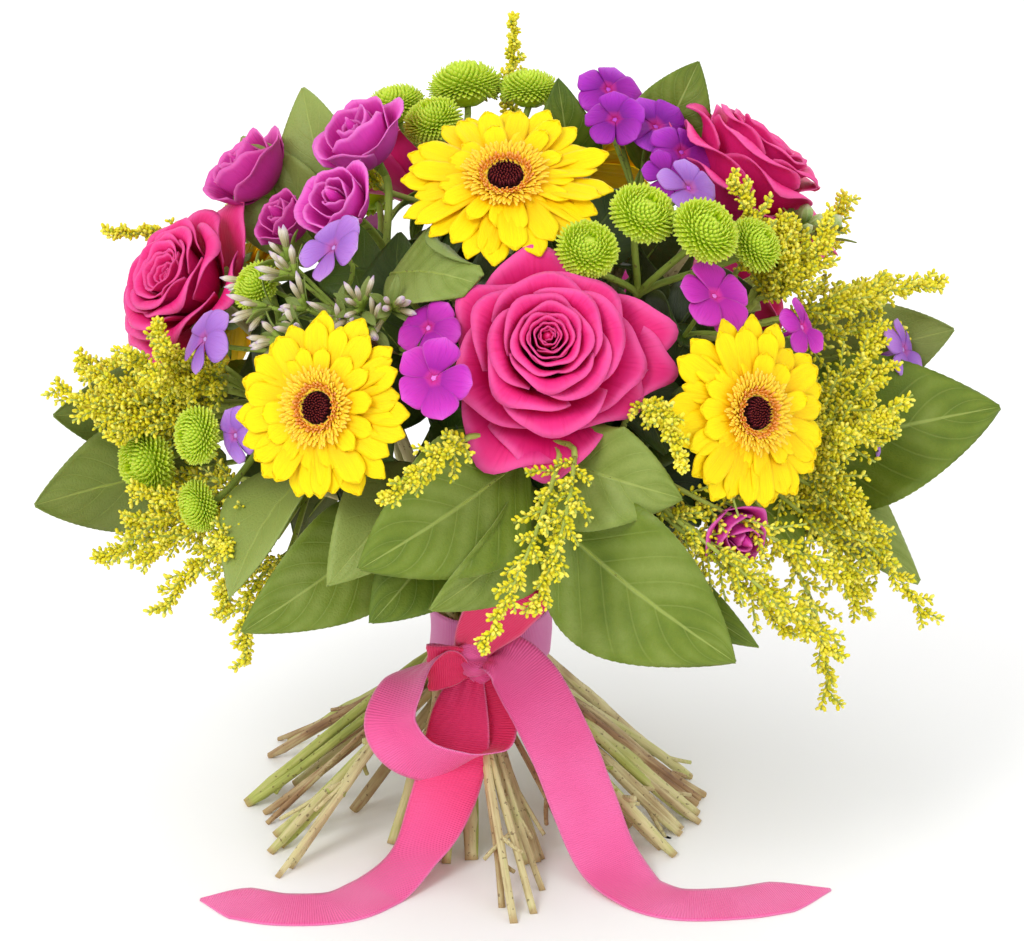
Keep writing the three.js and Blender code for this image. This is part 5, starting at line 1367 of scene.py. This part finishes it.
def ribbonGrid(route, rows=110, columns=13):
    # Smooth along its stops. Where it is gathered, the missing width goes into small pleats.
    stops = throughPoints(route, rows)
    run = np.append(0, np.cumsum(np.linalg.norm(np.diff(stops[:, :3], axis=0), axis=1)))
    stops = np.stack([np.interp(np.linspace(0, run[-1], rows), run, column) for column in stops.T], -1)
    middle, across, share = stops[:, :3], stops[:, 3:6], np.clip(stops[:, 6:7], 0.05, 1)
    ahead = unit(np.gradient(middle, axis=0))
    across = unit(across - ahead * (across * ahead).sum(1, keepdims=True))
    normal = np.cross(ahead, across)
    t = np.linspace(-1, 1, columns)[None, :, None]
    length = np.linalg.norm(np.diff(middle, axis=0), axis=1).sum()
    high, share = middle[:, None, 2:], share[:, None]
    pleat = ribbonForm["pleats"] * (1 - share) * np.cos(3.5 * np.pi * t) * (high > 20)
    curl = 0.5 * (t**2 - 0.4) * share * np.minimum(high / 20, 1)
    grid = middle[:, None] + across[:, None] * t * share * ribbonForm["width"] / 2
    grid = grid + normal[:, None] * (pleat + curl)
    grid[..., 2] = np.maximum(grid[..., 2], ribbonForm["least"])
    return grid, length


ribbon = Shape()
ribbonLength = 0.0
for name, route in ribbonRuns.items():
    grid, length = ribbonGrid(route)
    addSheets(ribbon, grid[None], ribbonForm["thickness"], ribbonForm["tones"].get(name, 0.0), 0, length)
    ribbonLength += length
turn, t = np.meshgrid(np.linspace(0, 2 * np.pi, 121), np.linspace(-1, 1, 11), indexing="ij")
out = ribbonForm["bandRadius"] + 0.35 * np.sin(turn * 5) * t + 0.5 * np.cos(turn * 3 + 2 * t)
rise = ribbonForm["bandHeight"] / 2 * t * (1 + 0.06 * np.sin(turn * 2)) + 1.2 * np.sin(turn)
band = turned(out, np.zeros(out.shape), bunch["tieHeight"] + rise, turn)
addSheets(ribbon, band[None], ribbonForm["thickness"], ribbonForm["bandTone"], 0,
          2 * np.pi * ribbonForm["bandRadius"])

# The knot: a short pleated roll across the front, thin at both ends
turn, along = np.meshgrid(np.linspace(0, 2 * np.pi, 49), np.linspace(0, 1, 15), indexing="ij")
thin, swell = ribbonForm["knotSize"]
size = thin + swell * np.sin(np.pi * (0.04 + 0.92 * along)) ** 0.8
pleat = 1 + 0.2 * np.sin(turn * 5 + along * 7) + 0.1 * np.sin(turn * 11 + along * 9)
(x, y, z), (right, down) = ribbonForm["knotStart"], ribbonForm["knotRun"]
knot = np.stack([
    x + right * along, y + 0.85 * size * pleat * np.cos(turn), z + down * along + size * pleat * np.sin(turn),
], -1)
addSheets(ribbon, knot[None], ribbonForm["thickness"], ribbonForm["knotTone"], 0, 60.0)
ribbonPiece = ribbon.build("ribbon", ("ribbon",), "ribbon_pink")
print("ribbon made, runs in mm:", round(ribbonLength))

# ---- floor, light and camera
stage = {
    "target": (8.4, 0.0, 138.0),
    "elevation": 20.0,
    "distance": 1300.0,
    "lens": 120.27,
    "sensor": 36.0,
    "floorSize": 12.0,
}
bpy.ops.mesh.primitive_plane_add(size=stage["floorSize"])
floor = bpy.context.object
floor.name = "floor"
floorFinish = Finish("pale floor")
pale = floorFinish.noise(3.0)
floor.data.materials.append(floorFinish.done(floorFinish.ramp(pale, (0.0, "#FBFBFB"), (1.0, "#FFFFFF")), 0.9))


def softLight(name, place, aimAt, size, power):
    lamp = bpy.data.lights.new(name, "AREA")
    lamp.shape = "DISK"
    lamp.size = size
    lamp.energy = power
    light = bpy.data.objects.new(name, lamp)
    bpy.context.scene.collection.objects.link(light)
    axes = frameAt((0, 0, 0), np.array(place) - np.array(aimAt))[1]
    light.matrix_world = facingMatrix(place, axes)


def facingMatrix(place, axes):
    rotation = Matrix([list(row) for row in np.array(axes).T])
    return Matrix.Translation(place) @ rotation.to_4x4()


middle = (0.0, 0.0, 0.15)
softLight("key light", (-0.9, -1.3, 1.5), middle, 0.9, 17.0)
softLight("fill light", (1.4, -1.0, 0.8), middle, 1.2, 4.5)
softLight("back light", (0.3, 1.6, 1.2), middle, 1.2, 7.0)

scene = bpy.context.scene
world = bpy.data.worlds.new("white studio")
world.use_nodes = True
world.node_tree.nodes["Background"].inputs["Color"].default_value = (1, 1, 1, 1)
world.node_tree.nodes["Background"].inputs["Strength"].default_value = 0.93
scene.world = world
scene.view_settings.view_transform = "Standard"
scene.view_settings.look = "None"

cameraData = bpy.data.cameras.new("camera")
cameraData.lens = stage["lens"]
cameraData.sensor_width = stage["sensor"]
cameraData.sensor_fit = "HORIZONTAL"
camera = bpy.data.objects.new("camera", cameraData)
scene.collection.objects.link(camera)
lookFrom = heading(0.0, stage["elevation"])
target = np.array(stage["target"]) + bunch["standsAt"]
eye = tuple((target + lookFrom * stage["distance"]) * bunch["metres"])
camera.matrix_world = facingMatrix(eye, frameAt((0, 0, 0), lookFrom)[1])
scene.camera = camera
print("stage set")
